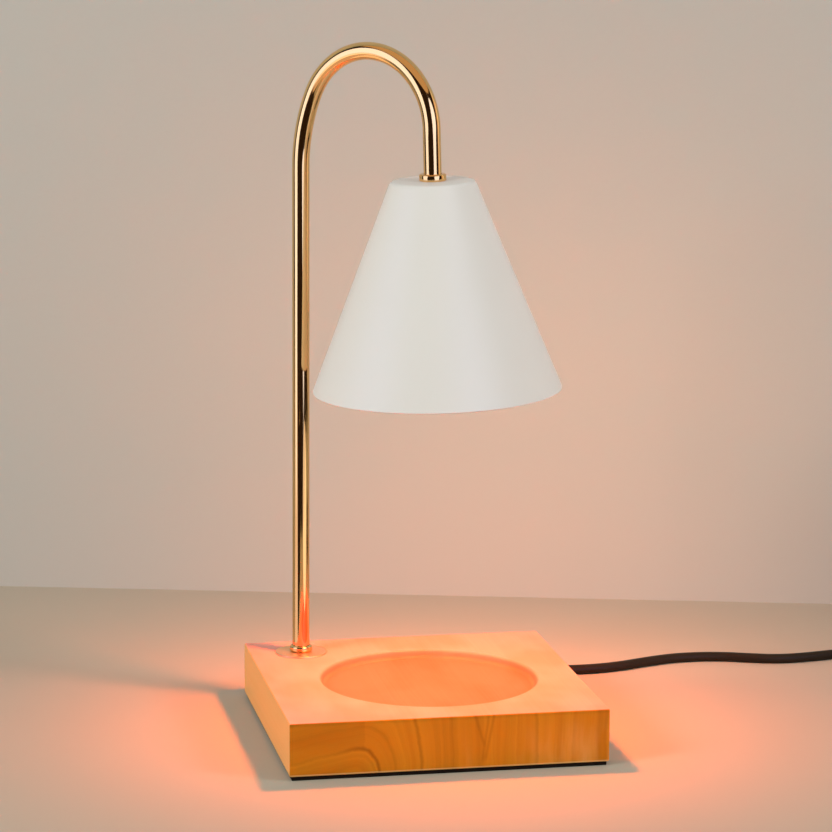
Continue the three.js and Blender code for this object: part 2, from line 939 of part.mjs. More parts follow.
// The bent tube
function bentTube(group, neck) {
  const section = circleOutline(tubeRadius, tubeSides);
  section.holes.push(circleOutline(tubeRadius - tubeWall, tubeSides));
  place(group, "neck_tube", sweep(neck.points, section), polishedGold);
}

// Shade, ring, and the washer, nut and bracket that the tube's end carries
function shadeAndClamp(head) {
  const slope = (shadeBottomRadius - shadeTopRadius) / shadeHeight;
  const lean = THREE.MathUtils.radToDeg(Math.atan(slope));
  const wallAcross = shadeWall / Math.cos(radians(lean));
  const hemZ = -shadeHeight + shadeHemRound;
  const innerTopRadius = shadeTopRadius + slope * shadeWall - wallAcross;
  const cornerX = shadeTopRadius - shadeCornerRound * Math.tan(radians((90 - lean) / 2));
  const innerHemRadius = shadeBottomRadius - wallAcross;
  place(
    head,
    "shade",
    turned(
      [
        [tubeHole, -shadeWall],
        [innerTopRadius - shadeHemRound, -shadeWall],
        [innerTopRadius + slope * shadeHemRound, -shadeWall - shadeHemRound],
        [innerHemRadius - slope * shadeHemRound, hemZ],
        [innerHemRadius + shadeHemRound / 2, -shadeHeight],
        [shadeBottomRadius - shadeHemRound, -shadeHeight],
        [shadeBottomRadius - slope * shadeHemRound, hemZ],
        ...arc(cornerX, -shadeCornerRound, shadeCornerRound, lean, 90, cornerSteps),
        [tubeHole, 0],
      ],
      shadeSteps,
    ),
    whitePaint,
  );
  const ringBottom = seatGap;
  const ringTop = ringBottom + shadeRingHeight;
  place(
    head,
    "shade_ring",
    turned(
      [
        [tubeHole, ringBottom],
        [shadeRingRadius, ringBottom],
        ...arc(shadeRingRadius - shadeRingRound, ringTop - shadeRingRound, shadeRingRound, 0, 90, bevelSteps),
        [tubeHole, ringTop],
      ],
      roundSteps,
    ),
    polishedGold,
  );
  place(
    head,
    "clamp_washer",
    tube(tubeHole, clampWasherRadius, clampWasherTop - clampWasherThickness, clampWasherTop),
    zincSteel,
  );
  place(
    head,
    "clamp_nut",
    hexNut(clampNutAcross, tubeHole, clampNutTop - clampNutHeight, clampNutTop),
    zincSteel,
  );
  bracket(head);
}

function holderScrewPlaces() {
  return [-holderScrewSpread, holderScrewSpread];
}

// Bracket of bent strip: a top, two legs and two feet turned inwards
function bracket(head) {
  const outer = bracketHalfSpan;
  const inner = bracketHalfSpan - bracketThickness;
  const toe = bracketHalfSpan - bracketFoot;
  const top = clampBracketTop;
  const footTop = bracketFootBottom + bracketThickness;
  const outline = polygonOutline([
    [-toe, bracketFootBottom],
    [-toe, footTop],
    [-inner, footTop],
    [-inner, top - bracketThickness],
    [inner, top - bracketThickness],
    [inner, footTop],
    [toe, footTop],
    [toe, bracketFootBottom],
    [outer, bracketFootBottom],
    [outer, top],
    [-outer, top],
    [-outer, bracketFootBottom],
  ]);
  const strip = plate(outline, -bracketDepth / 2, bracketDepth / 2).rotateX(Math.PI / 2);
  const tubeBore = rod(tubeHole, top - bracketThickness - overrun, top + overrun);
  const screwBores = holderScrewPlaces().map((x) =>
    rod(
      holderScrewRadius + seatGap,
      bracketFootBottom - overrun,
      footTop + overrun,
      smallRoundSteps,
    ).translate(x, 0, 0),
  );
  place(head, "holder_bracket", cut(strip, tubeBore, ...screwBores), zincSteel);
}

// An outline along an arc about the axis, with round ends
function arcSlot(radius, halfWidth, fromAngle, toAngle) {
  const from = radians(fromAngle);
  const to = radians(toAngle);
  const shape = new THREE.Shape();
  const ends = [to, from].map((angle) => [radius * Math.cos(angle), radius * Math.sin(angle)]);
  shape.absarc(0, 0, radius + halfWidth, from, to);
  shape.absarc(...ends[0], halfWidth, to, to + Math.PI);
  shape.absarc(0, 0, radius - halfWidth, to, from, true);
  shape.absarc(...ends[1], halfWidth, from + Math.PI, from + 2 * Math.PI);
  return shape;
}

// Ceramic holder with a keyhole slot for each pin of the bulb, its screws and its contacts
function lampHolder(head) {
  const body = turned(
    [
      [0, holderBottom],
      [holderRadius - holderEdge, holderBottom],
      [holderRadius, holderBottom + holderEdge],
      [holderRadius, holderTop - holderEdge],
      [holderRadius - holderEdge, holderTop],
      [0, holderTop],
    ],
    roundSteps + roundSteps / 3,
  );
  const tools = [];
  const roomForHead = bulbPinHeadRadius + bulbPinHeadRoom;
  [0, 180].forEach((side) => {
    const mouth = arcSlot(bulbPinSpread, bulbPinRadius + seatGap, side - bulbTurnAngle, side);
    const cavity = arcSlot(bulbPinSpread, roomForHead, side - bulbTurnAngle, side);
    const entryAngle = radians(side - bulbTurnAngle);
    tools.push(plate(mouth, holderBottom - overrun, holderBottom + slotMouthDepth + seatGap));
    tools.push(plate(cavity, holderBottom + slotMouthDepth, slotCeiling));
    tools.push(
      rod(roomForHead, holderBottom - overrun, holderBottom + slotMouthDepth + seatGap, smallRoundSteps).translate(
        bulbPinSpread * Math.cos(entryAngle),
        bulbPinSpread * Math.sin(entryAngle),
        0,
      ),
    );
  });
  holderScrewPlaces().forEach((x) => {
    tools.push(
      rod(
        holderScrewRadius + seatGap,
        holderTop - holderScrewLength,
        holderTop + overrun,
        smallRoundSteps,
      ).translate(x, 0, 0),
    );
  });
  tools.push(rod(holderLeadRadius, holderTop - holderLeadDepth, holderTop + overrun, smallRoundSteps));
  place(head, "lamp_holder", cut(body, ...tools), ceramic);

  const footTop = bracketFootBottom + bracketThickness;
  holderScrewPlaces().forEach((x, i) => {
    const made = screw(holderScrewHeadRadius, holderScrewHeadHeight, holderScrewRadius, holderScrewLength);
    made.translate(x, 0, footTop + seatGap);
    place(head, "holder_screw_" + (i + 1), made, zincSteel);
  });
  [0, 180].forEach((side, i) => {
    const strip = arcSlot(bulbPinSpread, bulbPinHeadRadius, side - bulbTurnAngle, side);
    const top = slotCeiling - seatGap;
    place(head, "holder_contact_" + (i + 1), plate(strip, top - contactThickness, top), brass);
  });
}

// Halogen bulb: reflector, front glass, capsule and two headed pins
function bulb(head) {
  const shoulderZ = bulbTop - bulbNeckLength - bulbShoulderDrop;
  const rimTop = bulbBottom + bulbRimHeight;
  const ledge = bulbBottom + bulbMouthDepth;
  const innerRim = bulbRimRadius - bulbGlassWall;
  const ledgeRadius = innerRim - bulbFrontInset;
  const flareShares = [0.25, 0.5, 0.75];
  const flare = (narrow, wide, low, high) =>
    flareShares.map((share) => [
      narrow + (wide - narrow) * Math.sqrt(1 - share),
      low + (high - low) * share,
    ]);
  const boreTop = bulbTop - capsuleTop + seatGap;
  const boreRadius = capsuleRadius + seatGap;
  const innerTop = shoulderZ - bulbGlassWall;
  const glass = turned(
    [
      [0, boreTop],
      [boreRadius, boreTop],
      [boreRadius, innerTop],
      [bulbNeckRadius - bulbGlassWall, innerTop],
      ...flare(bulbNeckRadius - bulbGlassWall, ledgeRadius, ledge, innerTop).reverse(),
      [ledgeRadius, ledge],
      [innerRim, ledge],
      [innerRim, bulbBottom],
      [bulbRimRadius, bulbBottom],
      [bulbRimRadius, rimTop],
      ...flare(bulbShoulderRadius, bulbRimRadius, rimTop, shoulderZ),
      [bulbShoulderRadius, shoulderZ],
      [bulbNeckRadius, bulbTop - bulbNeckLength],
      [bulbNeckRadius, bulbTop],
      [0, bulbTop],
    ],
    bulbSteps,
  );
  const pinBottom = bulbTop - bulbPinRoot;
  const pinHoles = [-bulbPinSpread, bulbPinSpread].map((x) =>
    rod(bulbPinRadius + seatGap, pinBottom - seatGap, bulbTop + overrun, smallRoundSteps).translate(x, 0, 0),
  );
  place(head, "bulb_reflector", cut(glass, ...pinHoles), mirrorGlass);

  const frontTop = ledge - seatGap;
  const frontBottom = frontTop - bulbFrontThickness;
  const frontRadius = innerRim - seatGap;
  place(
    head,
    "bulb_front_glass",
    turned(
      [
        [0, frontBottom - bulbFrontDome],
        [frontRadius / 2, frontBottom - bulbFrontDome / 2],
        [frontRadius, frontBottom],
        [frontRadius, frontTop],
        [0, frontTop],
      ],
      bulbSteps,
    ),
    clearGlass,
  );
  const capsuleBottom = bulbTop - capsuleTop - capsuleLength;
  place(
    head,
    "bulb_capsule",
    turned(
      [
        [0, capsuleBottom - capsuleTip],
        [capsuleTip, capsuleBottom],
        ...arc(0, capsuleBottom + capsuleRadius, capsuleRadius, -capsuleTipAngle, 0, cornerSteps),
        [capsuleRadius, bulbTop - capsuleTop],
        [0, bulbTop - capsuleTop],
      ],
      smallRoundSteps,
    ),
    clearGlass,
  );
  const headBottom = holderBottom + slotMouthDepth + bulbPinRest;
  [-bulbPinSpread, bulbPinSpread].forEach((x, i) => {
    const pin = turned(
      [
        [0, pinBottom],
        [bulbPinRadius, pinBottom],
        [bulbPinRadius, headBottom],
        [bulbPinHeadRadius, headBottom],
        [bulbPinHeadRadius, headBottom + bulbPinHeadHeight],
        [0, headBottom + bulbPinHeadHeight],
      ],
      smallRoundSteps,
    );
    place(head, "bulb_pin_" + (i + 1), pin.translate(x, 0, 0), zincSteel);
  });
}

// Tapered sleeve on the cord, whose wall-side end has a neck and a barb; it points along +Z
function sleeve(wall) {
  return turned(
    [
      [0, -wall - seatGap - sleeveBarbThickness],
      [sleeveBarbRadius, -wall - seatGap - sleeveBarbThickness],
      [sleeveBarbRadius, -wall - seatGap],
      [sleeveNeckRadius, -wall - seatGap],
      [sleeveNeckRadius, seatGap],
      [sleeveRootRadius, seatGap],
      [sleeveTipRadius, sleeveLength],
      [0, sleeveLength],
    ],
    smallRoundSteps,
  );
}

// Dimmer: two shells, board, potentiometer, triac, wires, shaft, dial, screws and sleeves
function dimmer(group) {
  const box = new THREE.Group();
  box.position.set(dimmerX, dimmerY, 0);
  group.add(box);
  const split = dimmerLowerHeight;
  const top = split + dimmerUpperHeight;
  const roof = top - dimmerWall;
  const outline = () => roundedOutline(dimmerWidth, dimmerLength, dimmerCorner);
  const inside = () =>
    roundedOutline(dimmerWidth - 2 * dimmerWall, dimmerLength - 2 * dimmerWall, dimmerCorner - dimmerWall);
  const posts = [
    [dimmerPostX, -dimmerPostY],
    [-dimmerPostX, dimmerPostY],
  ];
  const supports = [
    [dimmerPostX, dimmerSupportY],
    [-dimmerPostX, -dimmerSupportY],
  ];
  const neckHole = rod(
    sleeveNeckRadius + seatGap,
    -dimmerLength / 2 - overrun,
    dimmerLength / 2 + overrun,
    smallRoundSteps,
  )
    .rotateX(Math.PI / 2)
    .translate(0, 0, split);
  const neckRoom = () =>
    solidOf(neckHole).subtract(
      solidOf(
        block(
          [-dimmerWidth, dimmerWall + overrun - dimmerLength / 2, 0],
          [dimmerWidth, dimmerLength / 2 - dimmerWall - overrun, top],
        ),
      ),
    );

  // Lower shell
  const lowerRim = solidOf(plate(outline(), 0, split + dimmerEdge + overrun, dimmerEdge))
    .subtract(solidOf(block([-dimmerWidth, -dimmerLength, split], [dimmerWidth, dimmerLength, top])))
    .subtract(solidOf(plate(inside(), dimmerWall, split + overrun)));
  const lowerPosts = posts.map(([x, y]) => rod(dimmerPostRadius, dimmerWall / 2, split).translate(x, y, 0));
  const lowerSupports = supports.map(([x, y]) =>
    rod(dimmerSupportRadius, dimmerWall / 2, boardHeight, smallRoundSteps).translate(x, y, 0),
  );
  const screwRooms = posts.flatMap(([x, y]) => [
    rod(dimmerScrewHeadRadius + seatGap, -overrun, dimmerScrewSink, smallRoundSteps).translate(x, y, 0),
    rod(dimmerScrewRadius + seatGap, 0, split + overrun, smallRoundSteps).translate(x, y, 0),
  ]);
  const lower = [...lowerPosts, ...lowerSupports].reduce((all, post) => all.add(solidOf(post)), lowerRim);
  place(
    box,
    "dimmer_lower_shell",
    cut(geometryOf(lower.subtract(neckRoom())), ...screwRooms),
    blackPlastic,
  );

  // Upper shell
  const upperRim = solidOf(plate(outline(), split - dimmerEdge - overrun, top, dimmerEdge))
    .subtract(solidOf(block([-dimmerWidth, -dimmerLength, -overrun], [dimmerWidth, dimmerLength, split])))
    .subtract(solidOf(plate(inside(), split - overrun, roof)));
  const upperPosts = posts.map(([x, y]) =>
    rod(dimmerUpperPostRadius, split, roof + dimmerWall / 2, smallRoundSteps).translate(x, y, 0),
  );
  const upper = upperPosts.reduce((all, post) => all.add(solidOf(post)), upperRim).subtract(neckRoom());
  const bushHole = rod(potBushRadius + seatGap, roof - overrun, top + overrun);
  const screwHoles = posts.map(([x, y]) =>
    rod(
      dimmerScrewRadius + seatGap,
      split - overrun,
      dimmerScrewSink + dimmerScrewLength + seatGap,
      smallRoundSteps,
    ).translate(x, y, 0),
  );
  place(box, "dimmer_upper_shell", cut(geometryOf(upper), bushHole, ...screwHoles), blackPlastic);
  dimmerInside(box, posts, roof, top);
  dimmerDial(box, top);
  [1, -1].forEach((side, i) => {
    const made = sleeve(dimmerWall)
      .rotateX((-side * Math.PI) / 2)
      .translate(0, (side * dimmerLength) / 2, split);
    place(box, "dimmer_sleeve_" + (i + 1), made, blackRubber);
  });
}

function dimmerInside(box, posts, roof, top) {
  const boardTop = boardHeight + boardThickness;
  const board = block(
    [-boardWidth / 2, -boardLength / 2, boardHeight],
    [boardWidth / 2, boardLength / 2, boardTop],
  );
  const postRooms = posts.map(([x, y]) =>
    rod(dimmerPostRadius + seatGap, boardHeight - overrun, boardTop + overrun).translate(x, y, 0),
  );
  place(box, "dimmer_board", cut(board, ...postRooms), greenBoard);
  place(
    box,
    "dimmer_potentiometer",
    turned(
      [
        [0, boardTop],
        [potRadius, boardTop],
        [potRadius, roof - seatGap],
        [potBushRadius, roof - seatGap],
        [potBushRadius, top + potBushProud],
        [shaftRadius + shaftClearance, top + potBushProud],
        [shaftRadius + shaftClearance, boardTop + potFloor],
        [0, boardTop + potFloor],
      ],
      roundSteps,
    ),
    zincSteel,
  );
  const triacY = -potRadius - triacFromPot;
  place(
    box,
    "dimmer_triac",
    block([-triacWidth / 2, triacY - triacDepth, boardTop], [triacWidth / 2, triacY, boardTop + triacHeight]),
    blackPlastic,
  );
  const wireRadius = wireDiameter / 2;
  const start = dimmerLength / 2 - dimmerWall - 2 * seatGap - sleeveBarbThickness;
  const wireZ = boardTop + wireRadius + seatGap;
  const wireEnds = [potRadius + wireStopGap, -triacY + triacDepth + seatGap];
  [1, -1].forEach((side, i) => {
    const route = smoothed(
      [
        [0, side * start, dimmerLowerHeight],
        [0, side * (start - wireRadius), dimmerLowerHeight],
        [0, (side * boardLength) / 2, wireZ],
        [0, side * wireEnds[i], wireZ],
      ],
      wireDiameter,
    );
    place(box, "dimmer_wire_" + (i + 1), sweep(route, circleOutline(wireRadius, cordSides)), whiteNylon);
  });
  posts.forEach(([x, y], i) => {
    const made = screw(dimmerScrewHeadRadius, dimmerScrewHeadHeight, dimmerScrewRadius, dimmerScrewLength);
    made.rotateX(Math.PI).translate(x, y, dimmerScrewSink - seatGap);
    place(box, "dimmer_screw_" + (i + 1), made, zincSteel);
  });
}

// Dial with a fluted edge and a pointer mark, and the shaft that it turns
function dimmerDial(box, top) {
  const bottom = top + dialGap;
  const dialTop = bottom + dialHeight;
  const steps = dialFlutes * dialFluteSteps;
  const fluted = Array.from({ length: steps }, (_, i) => {
    const wave = Math.cos((2 * Math.PI * i) / dialFluteSteps);
    const r = dialRadius - (dialFluteDepth * (1 - wave)) / 2;
    const angle = (2 * Math.PI * i) / steps;
    return [r * Math.cos(angle), r * Math.sin(angle)];
  });
  const body = plate(polygonOutline(fluted), bottom, dialTop);
  const shaftTop = dialTop - dialRoof;
  const cap = turned(
    [
      [0, bottom],
      [dialRadius, bottom],
      [dialRadius, dialTop - dialEdge],
      [dialRadius - dialEdge, dialTop],
      [0, dialTop],
    ],
    roundSteps + roundSteps,
  );
  const bore = rod(shaftRadius + seatGap, bottom - overrun, shaftTop, smallRoundSteps);
  const bushRoom = rod(potBushRadius + seatGap, bottom - overrun, top + potBushProud + seatGap);
  const mark = block(
    [-dialMarkWidth / 2, dialMarkStart, dialTop - dialMarkDepth],
    [dialMarkWidth / 2, dialRadius + overrun, dialTop + overrun],
  );
  const shaped = geometryOf(solidOf(body).intersect(solidOf(cap)));
  place(box, "dimmer_dial", cut(shaped, bore, bushRoom, mark), blackPlastic);
  const shaftBottom = boardHeight + boardThickness + potFloor + seatGap;
  place(box, "dimmer_shaft", rod(shaftRadius, shaftBottom, shaftTop - seatGap, smallRoundSteps), brass);
}

// Plug with two flat blades and a tapered strain relief
function plug(group) {
  const local = new THREE.Group();
  local.position.set(plugX, plugY, plugHeight / 2);
  group.add(local);
  const front = plugLength;
  const half = plugWidth / 2;
  const back = plugBackWidth / 2;
  const shape = new THREE.Shape();
  shape.moveTo(-back, 0);
  shape.lineTo(back, 0);
  shape.lineTo(half, plugShoulder);
  shape.absarc(half - plugCorner, front - plugCorner, plugCorner, 0, Math.PI / 2);
  shape.absarc(plugCorner - half, front - plugCorner, plugCorner, Math.PI / 2, Math.PI);
  shape.lineTo(-half, plugShoulder);
  const body = plate(shape, -plugHeight / 2, plugHeight / 2, plugEdge);
  const sides = [-bladeSpread, bladeSpread];
  const sockets = sides.map((x) =>
    block(
      [x - bladeThickness / 2 - seatGap, front - bladeRoot - seatGap, -bladeHeight / 2 - seatGap],
      [x + bladeThickness / 2 + seatGap, front + overrun, bladeHeight / 2 + seatGap],
    ),
  );
  place(local, "plug_body", cut(body, ...sockets), blackRubber);
  sides.forEach((x, i) => {
    const tip = front + bladeLength;
    const blade = block(
      [x - bladeThickness / 2, front - bladeRoot, -bladeHeight / 2],
      [x + bladeThickness / 2, tip, bladeHeight / 2],
    );
    const hole = rod(bladeHoleRadius, -bladeThickness - overrun, bladeThickness + overrun, smallRoundSteps)
      .rotateY(Math.PI / 2)
      .translate(x, tip - bladeHoleFromTip, 0);
    place(local, "plug_blade_" + (i + 1), cut(blade, hole), brass);
  });
  const relief = turned(
    [
      [0, seatGap],
      [plugReliefRootRadius, seatGap],
      [plugReliefTipRadius, plugReliefLength],
      [0, plugReliefLength],
    ],
    smallRoundSteps,
  );
  place(local, "plug_relief", relief.rotateX(Math.PI / 2), blackRubber);
}

// The middle of the coil: it spirals in, climbs a layer in the half turn where it reverses, and spirals out
function coilLine() {
  const lowZ = tieThickness + seatGap + cordRadius;
  const middleTurn = coilTurns / 2;
  const innerRadius = coilMeanRadius - (coilPitch * middleTurn) / 2;
  const steps = Math.round(coilTurns * coilStepsPerTurn);
  const turns = Array.from({ length: steps + 1 }, (_, i) => {
    const turn = (coilTurns * i) / steps;
    const radius = innerRadius + coilPitch * Math.abs(turn - middleTurn);
    const climb = THREE.MathUtils.clamp((turn - middleTurn) / coilReverseTurns + 1 / 2, 0, 1);
    const angle = 2 * Math.PI * turn - Math.PI / 2;
    return new THREE.Vector3(
      coilX + radius * Math.cos(angle),
      coilY + radius * Math.sin(angle),
      lowZ + coilPitch * THREE.MathUtils.smoothstep(climb, 0, 1),
    );
  });
  const first = turns[0].clone().setX(turns[0].x - cordDiameter);
  const last = turns[steps].clone().setY(turns[steps].y + cordDiameter);
  return [first, ...turns, last];
}

// The least distance between turns of a line that aren't next to each other, less the cord's diameter
function selfGap(points) {
  const near = coilStepsPerTurn / 2;
  const gaps = points.flatMap((point, i) => points.slice(i + near).map((other) => point.distanceTo(other)));
  return Math.min(...gaps) - cordDiameter;
}

function cord(group) {
  const section = () => circleOutline(cordRadius, cordSides);
  const stretches = {
    cord_to_dimmer: smoothed(lampStretch, cordStep),
    cord_to_coil: smoothed(coilStretch, cordStep),
    cord_to_plug: smoothed(plugStretch, cordStep),
  };
  Object.entries(stretches).forEach(([name, points]) =>
    place(group, name, sweep(points, section()), blackRubber),
  );
  const coil = coilLine();
  place(group, "cord_coil", sweep(coil, circleOutline(cordRadius, coilSides)), blackRubber);
  coilTie(group);
  const lengths = [...Object.values(stretches), coil].map(lengthOf);
  const total = lengths.reduce((sum, length) => sum + length, 0);
  console.log("least gap in the coil, mm:", selfGap(coil).toFixed(2));
  console.log("cord outside the lamp, mm:", total.toFixed(0), lengths.map((length) => length.toFixed(0)).join(" "));
}

// Band round the coil's turns where they run across its far side
function coilTie(group) {
  const middleTurn = coilTurns / 2;
  const innerRadius = coilMeanRadius - (coilPitch * middleTurn) / 2;
  const low = innerRadius - cordRadius - seatGap;
  const high = innerRadius + coilPitch * (middleTurn - 1 / 2) + cordRadius + seatGap;
  const top = 2 * tieThickness + 2 * seatGap + coilPitch + cordDiameter;
  const outline = roundedOutline(high - low + 2 * tieThickness, top, tieRound);
  outline.holes.push(roundedOutline(high - low, top - 2 * tieThickness, tieRound - tieThickness));
  const band = plate(outline, -tieWidth / 2, tieWidth / 2);
  band.rotateX(Math.PI / 2).rotateZ(Math.PI / 2);
  band.translate(coilX, coilY + (low + high) / 2, top / 2);
  place(group, "coil_tie", band, blackFoam);
}

function lamp() {
  const group = new THREE.Group();
  const neck = neckLine();
  woodenBase(group);
  poleFoot(group);
  cordEntry(group);
  bentTube(group, neck);
  innerLead(group, neck);

  const head = new THREE.Group();
  head.position.copy(neck.head);
  const up = neck.headDown.clone().negate();
  head.quaternion.setFromUnitVectors(new THREE.Vector3(0, 0, 1), up);
  group.add(head);
  shadeAndClamp(head);
  lampHolder(head);
  bulb(head);

  cord(group);
  dimmer(group);
  plug(group);
  console.log("lamp head at", neck.head.toArray().map((v) => v.toFixed(4)).join(" "));
  console.log("lamp head up", up.toArray().map((v) => v.toFixed(6)).join(" "));
  return group;
}

export default lamp();
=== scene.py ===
"""Looks of the candle warmer lamp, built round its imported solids.

Metres, +Z up, +Y to the back. The origin is the middle of the pad's underside, on the table. Every piece is a plain
mesh whose object sits at the origin, and it rides on the lamp, on its dial or on its bulb.
"""

from __future__ import annotations

import json
import logging
import math
from collections.abc import Iterable, Sequence
from dataclasses import dataclass
from enum import Enum
from functools import partialmethod
from itertools import accumulate

import bmesh
import bpy
from bpy.types import Material, Mesh, Object
from mathutils import Matrix, Vector

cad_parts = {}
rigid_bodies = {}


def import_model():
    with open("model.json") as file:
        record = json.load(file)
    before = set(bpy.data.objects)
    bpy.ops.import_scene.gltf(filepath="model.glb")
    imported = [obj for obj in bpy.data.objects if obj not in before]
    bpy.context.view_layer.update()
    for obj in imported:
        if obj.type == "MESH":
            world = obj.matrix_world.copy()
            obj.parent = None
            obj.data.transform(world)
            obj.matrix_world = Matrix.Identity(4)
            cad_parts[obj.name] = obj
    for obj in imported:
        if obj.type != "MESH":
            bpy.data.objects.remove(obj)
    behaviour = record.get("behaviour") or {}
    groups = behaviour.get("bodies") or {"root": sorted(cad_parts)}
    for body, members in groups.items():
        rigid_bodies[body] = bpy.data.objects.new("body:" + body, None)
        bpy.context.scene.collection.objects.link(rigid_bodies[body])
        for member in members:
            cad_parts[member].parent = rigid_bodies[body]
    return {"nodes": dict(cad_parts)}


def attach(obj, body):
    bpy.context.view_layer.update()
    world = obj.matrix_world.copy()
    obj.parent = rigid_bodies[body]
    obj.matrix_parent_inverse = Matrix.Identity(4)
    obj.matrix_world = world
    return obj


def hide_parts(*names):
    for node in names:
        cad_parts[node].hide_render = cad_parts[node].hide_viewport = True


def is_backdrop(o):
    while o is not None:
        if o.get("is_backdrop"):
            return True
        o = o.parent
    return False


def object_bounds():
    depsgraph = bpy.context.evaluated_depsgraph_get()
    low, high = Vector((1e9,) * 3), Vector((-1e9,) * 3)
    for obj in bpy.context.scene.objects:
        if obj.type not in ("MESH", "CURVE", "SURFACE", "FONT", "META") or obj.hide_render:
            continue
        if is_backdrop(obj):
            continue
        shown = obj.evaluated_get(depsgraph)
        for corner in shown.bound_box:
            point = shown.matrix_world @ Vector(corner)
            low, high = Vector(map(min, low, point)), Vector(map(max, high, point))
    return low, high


log = logging.getLogger("candle_warmer_lamp")

Point = tuple[float, float, float]
Flat = tuple[float, float]
Colour = tuple[float, float, float, float]

# The clearance of loose pieces and of snug ones, how far a cutter goes past a face, and how near points merge.
GAP = 0.0003
SNUG = 0.0001
OVERRUN = 0.001
MERGED = 1e-7
UPRIGHT = Vector((0.0, 0.0, 1.0))

# What several pieces share: the block, the dish and the pole, the cord, and the top of the shade with its axis.
WOOD_BOTTOM = 0.002
WOOD_TOP = 0.027
DISH_X = 0.0035
DISH_Y = -0.0044
POLE_X = -0.0498
POLE_Y = 0.0526
TUBE_RADIUS = 0.00425
CORD_DIAMETER = 0.005
EXIT = (-0.008, 0.066, 0.0122)
HEAD = Vector((0.0037731, -0.0034237, 0.2660616))
HEAD_UP = Vector((-0.034019, -0.021977, 0.99918)).normalized()


class Body(Enum):
    """The moving bodies of the lamp."""

    LAMP = "lamp"
    DIAL = "dial"
    BULB = "bulb"


def tone(red: int, green: int, blue: int) -> Colour:
    """A colour as a screen shows it, 0 to 255, as linear light."""
    shares = (value / 255 for value in (red, green, blue))
    return (*(s / 12.92 if s <= 0.04045 else ((s + 0.055) / 1.055) ** 2.4 for s in shares), 1.0)


# ---------------------------------------------------------------- shader and geometry trees


class Value:
    """An output socket of a node, with the arithmetic of one number."""

    def __init__(self, tree: Tree, socket: bpy.types.NodeSocket) -> None:
        """Keeps the socket and the tree that it is in."""
        self.tree, self.socket = tree, socket

    def other(self, output: str | int) -> Value:
        """Another output of the same node."""
        return Value(self.tree, self.socket.node.outputs[output])

    def _on(self, operation: str, *numbers: Value | float) -> Value:
        """A Math node on self and the given numbers."""
        return self.tree.node("ShaderNodeMath", dict(enumerate((self, *numbers))), operation=operation)

    def _after(self, operation: str, number: float) -> Value:
        """A Math node on a number and then self."""
        return self.tree.node("ShaderNodeMath", {0: number, 1: self}, operation=operation)

    __add__ = __radd__ = partialmethod(_on, "ADD")
    __mul__ = __rmul__ = partialmethod(_on, "MULTIPLY")
    __sub__ = partialmethod(_on, "SUBTRACT")
    __rsub__ = partialmethod(_after, "SUBTRACT")
    __truediv__ = partialmethod(_on, "DIVIDE")
    __pow__ = partialmethod(_on, "POWER")
    root = partialmethod(_on, "SQRT")
    size = partialmethod(_on, "ABSOLUTE")
    least = partialmethod(_on, "MINIMUM")
    most = partialmethod(_on, "MAXIMUM")

    def share(self) -> Value:
        """The number, kept between 0 and 1."""
        return self.most(0.0).least(1.0)

    def step(self, low: float, high: float) -> Value:
        """A smooth step from 0 at a low number to 1 at a high one."""
        given = {"Value": self, "From Min": low, "From Max": high}
        return self.tree.node("ShaderNodeMapRange", given, interpolation_type="SMOOTHSTEP")

    def line(self, place: Value | float, width: float) -> Value:
        """A soft line, 1 where self is at a place and 0 a width away from it."""
        return 1 - ((self - place).size() / width).step(0.0, 1.0)


class Tree:
    """Adds nodes to a tree, from a type, its settings and what its sockets get."""

    def __init__(self, tree: bpy.types.NodeTree) -> None:
        """Keeps the tree."""
        self.tree = tree

    def feed(self, socket: bpy.types.NodeSocket, value: object) -> None:
        """Links a socket to a value's, or sets it to a constant.

        Args:
            socket: the input socket.
            value: a value of a node, or a constant.
        """
        if isinstance(value, Value):
            self.tree.links.new(value.socket, socket)
        else:
            socket.default_value = value

    def node(
        self, kind: str, given: dict[str | int, object] | None = None, output: str | int = 0, **settings: object
    ) -> Value:
        """Adds a node.

        Args:
            kind: the node's type.
            given: a value or a link for each socket that isn't left as it is.
            output: the output that is handed back.
            settings: the node's properties, which are set first.

        Returns:
            That output.
        """
        made = self.tree.nodes.new(kind)
        for name, setting in settings.items():
            setattr(made, name, setting)
        for key, value in (given or {}).items():
            self.feed(made.inputs[key], value)
        return Value(self, made.outputs[output] if len(made.outputs) else made.inputs[0])

    def vector(self, x: Value | float = 0.0, y: Value | float = 0.0, z: Value | float = 0.0) -> Value:
        """A vector of three numbers."""
        return self.node("ShaderNodeCombineXYZ", {"X": x, "Y": y, "Z": z})


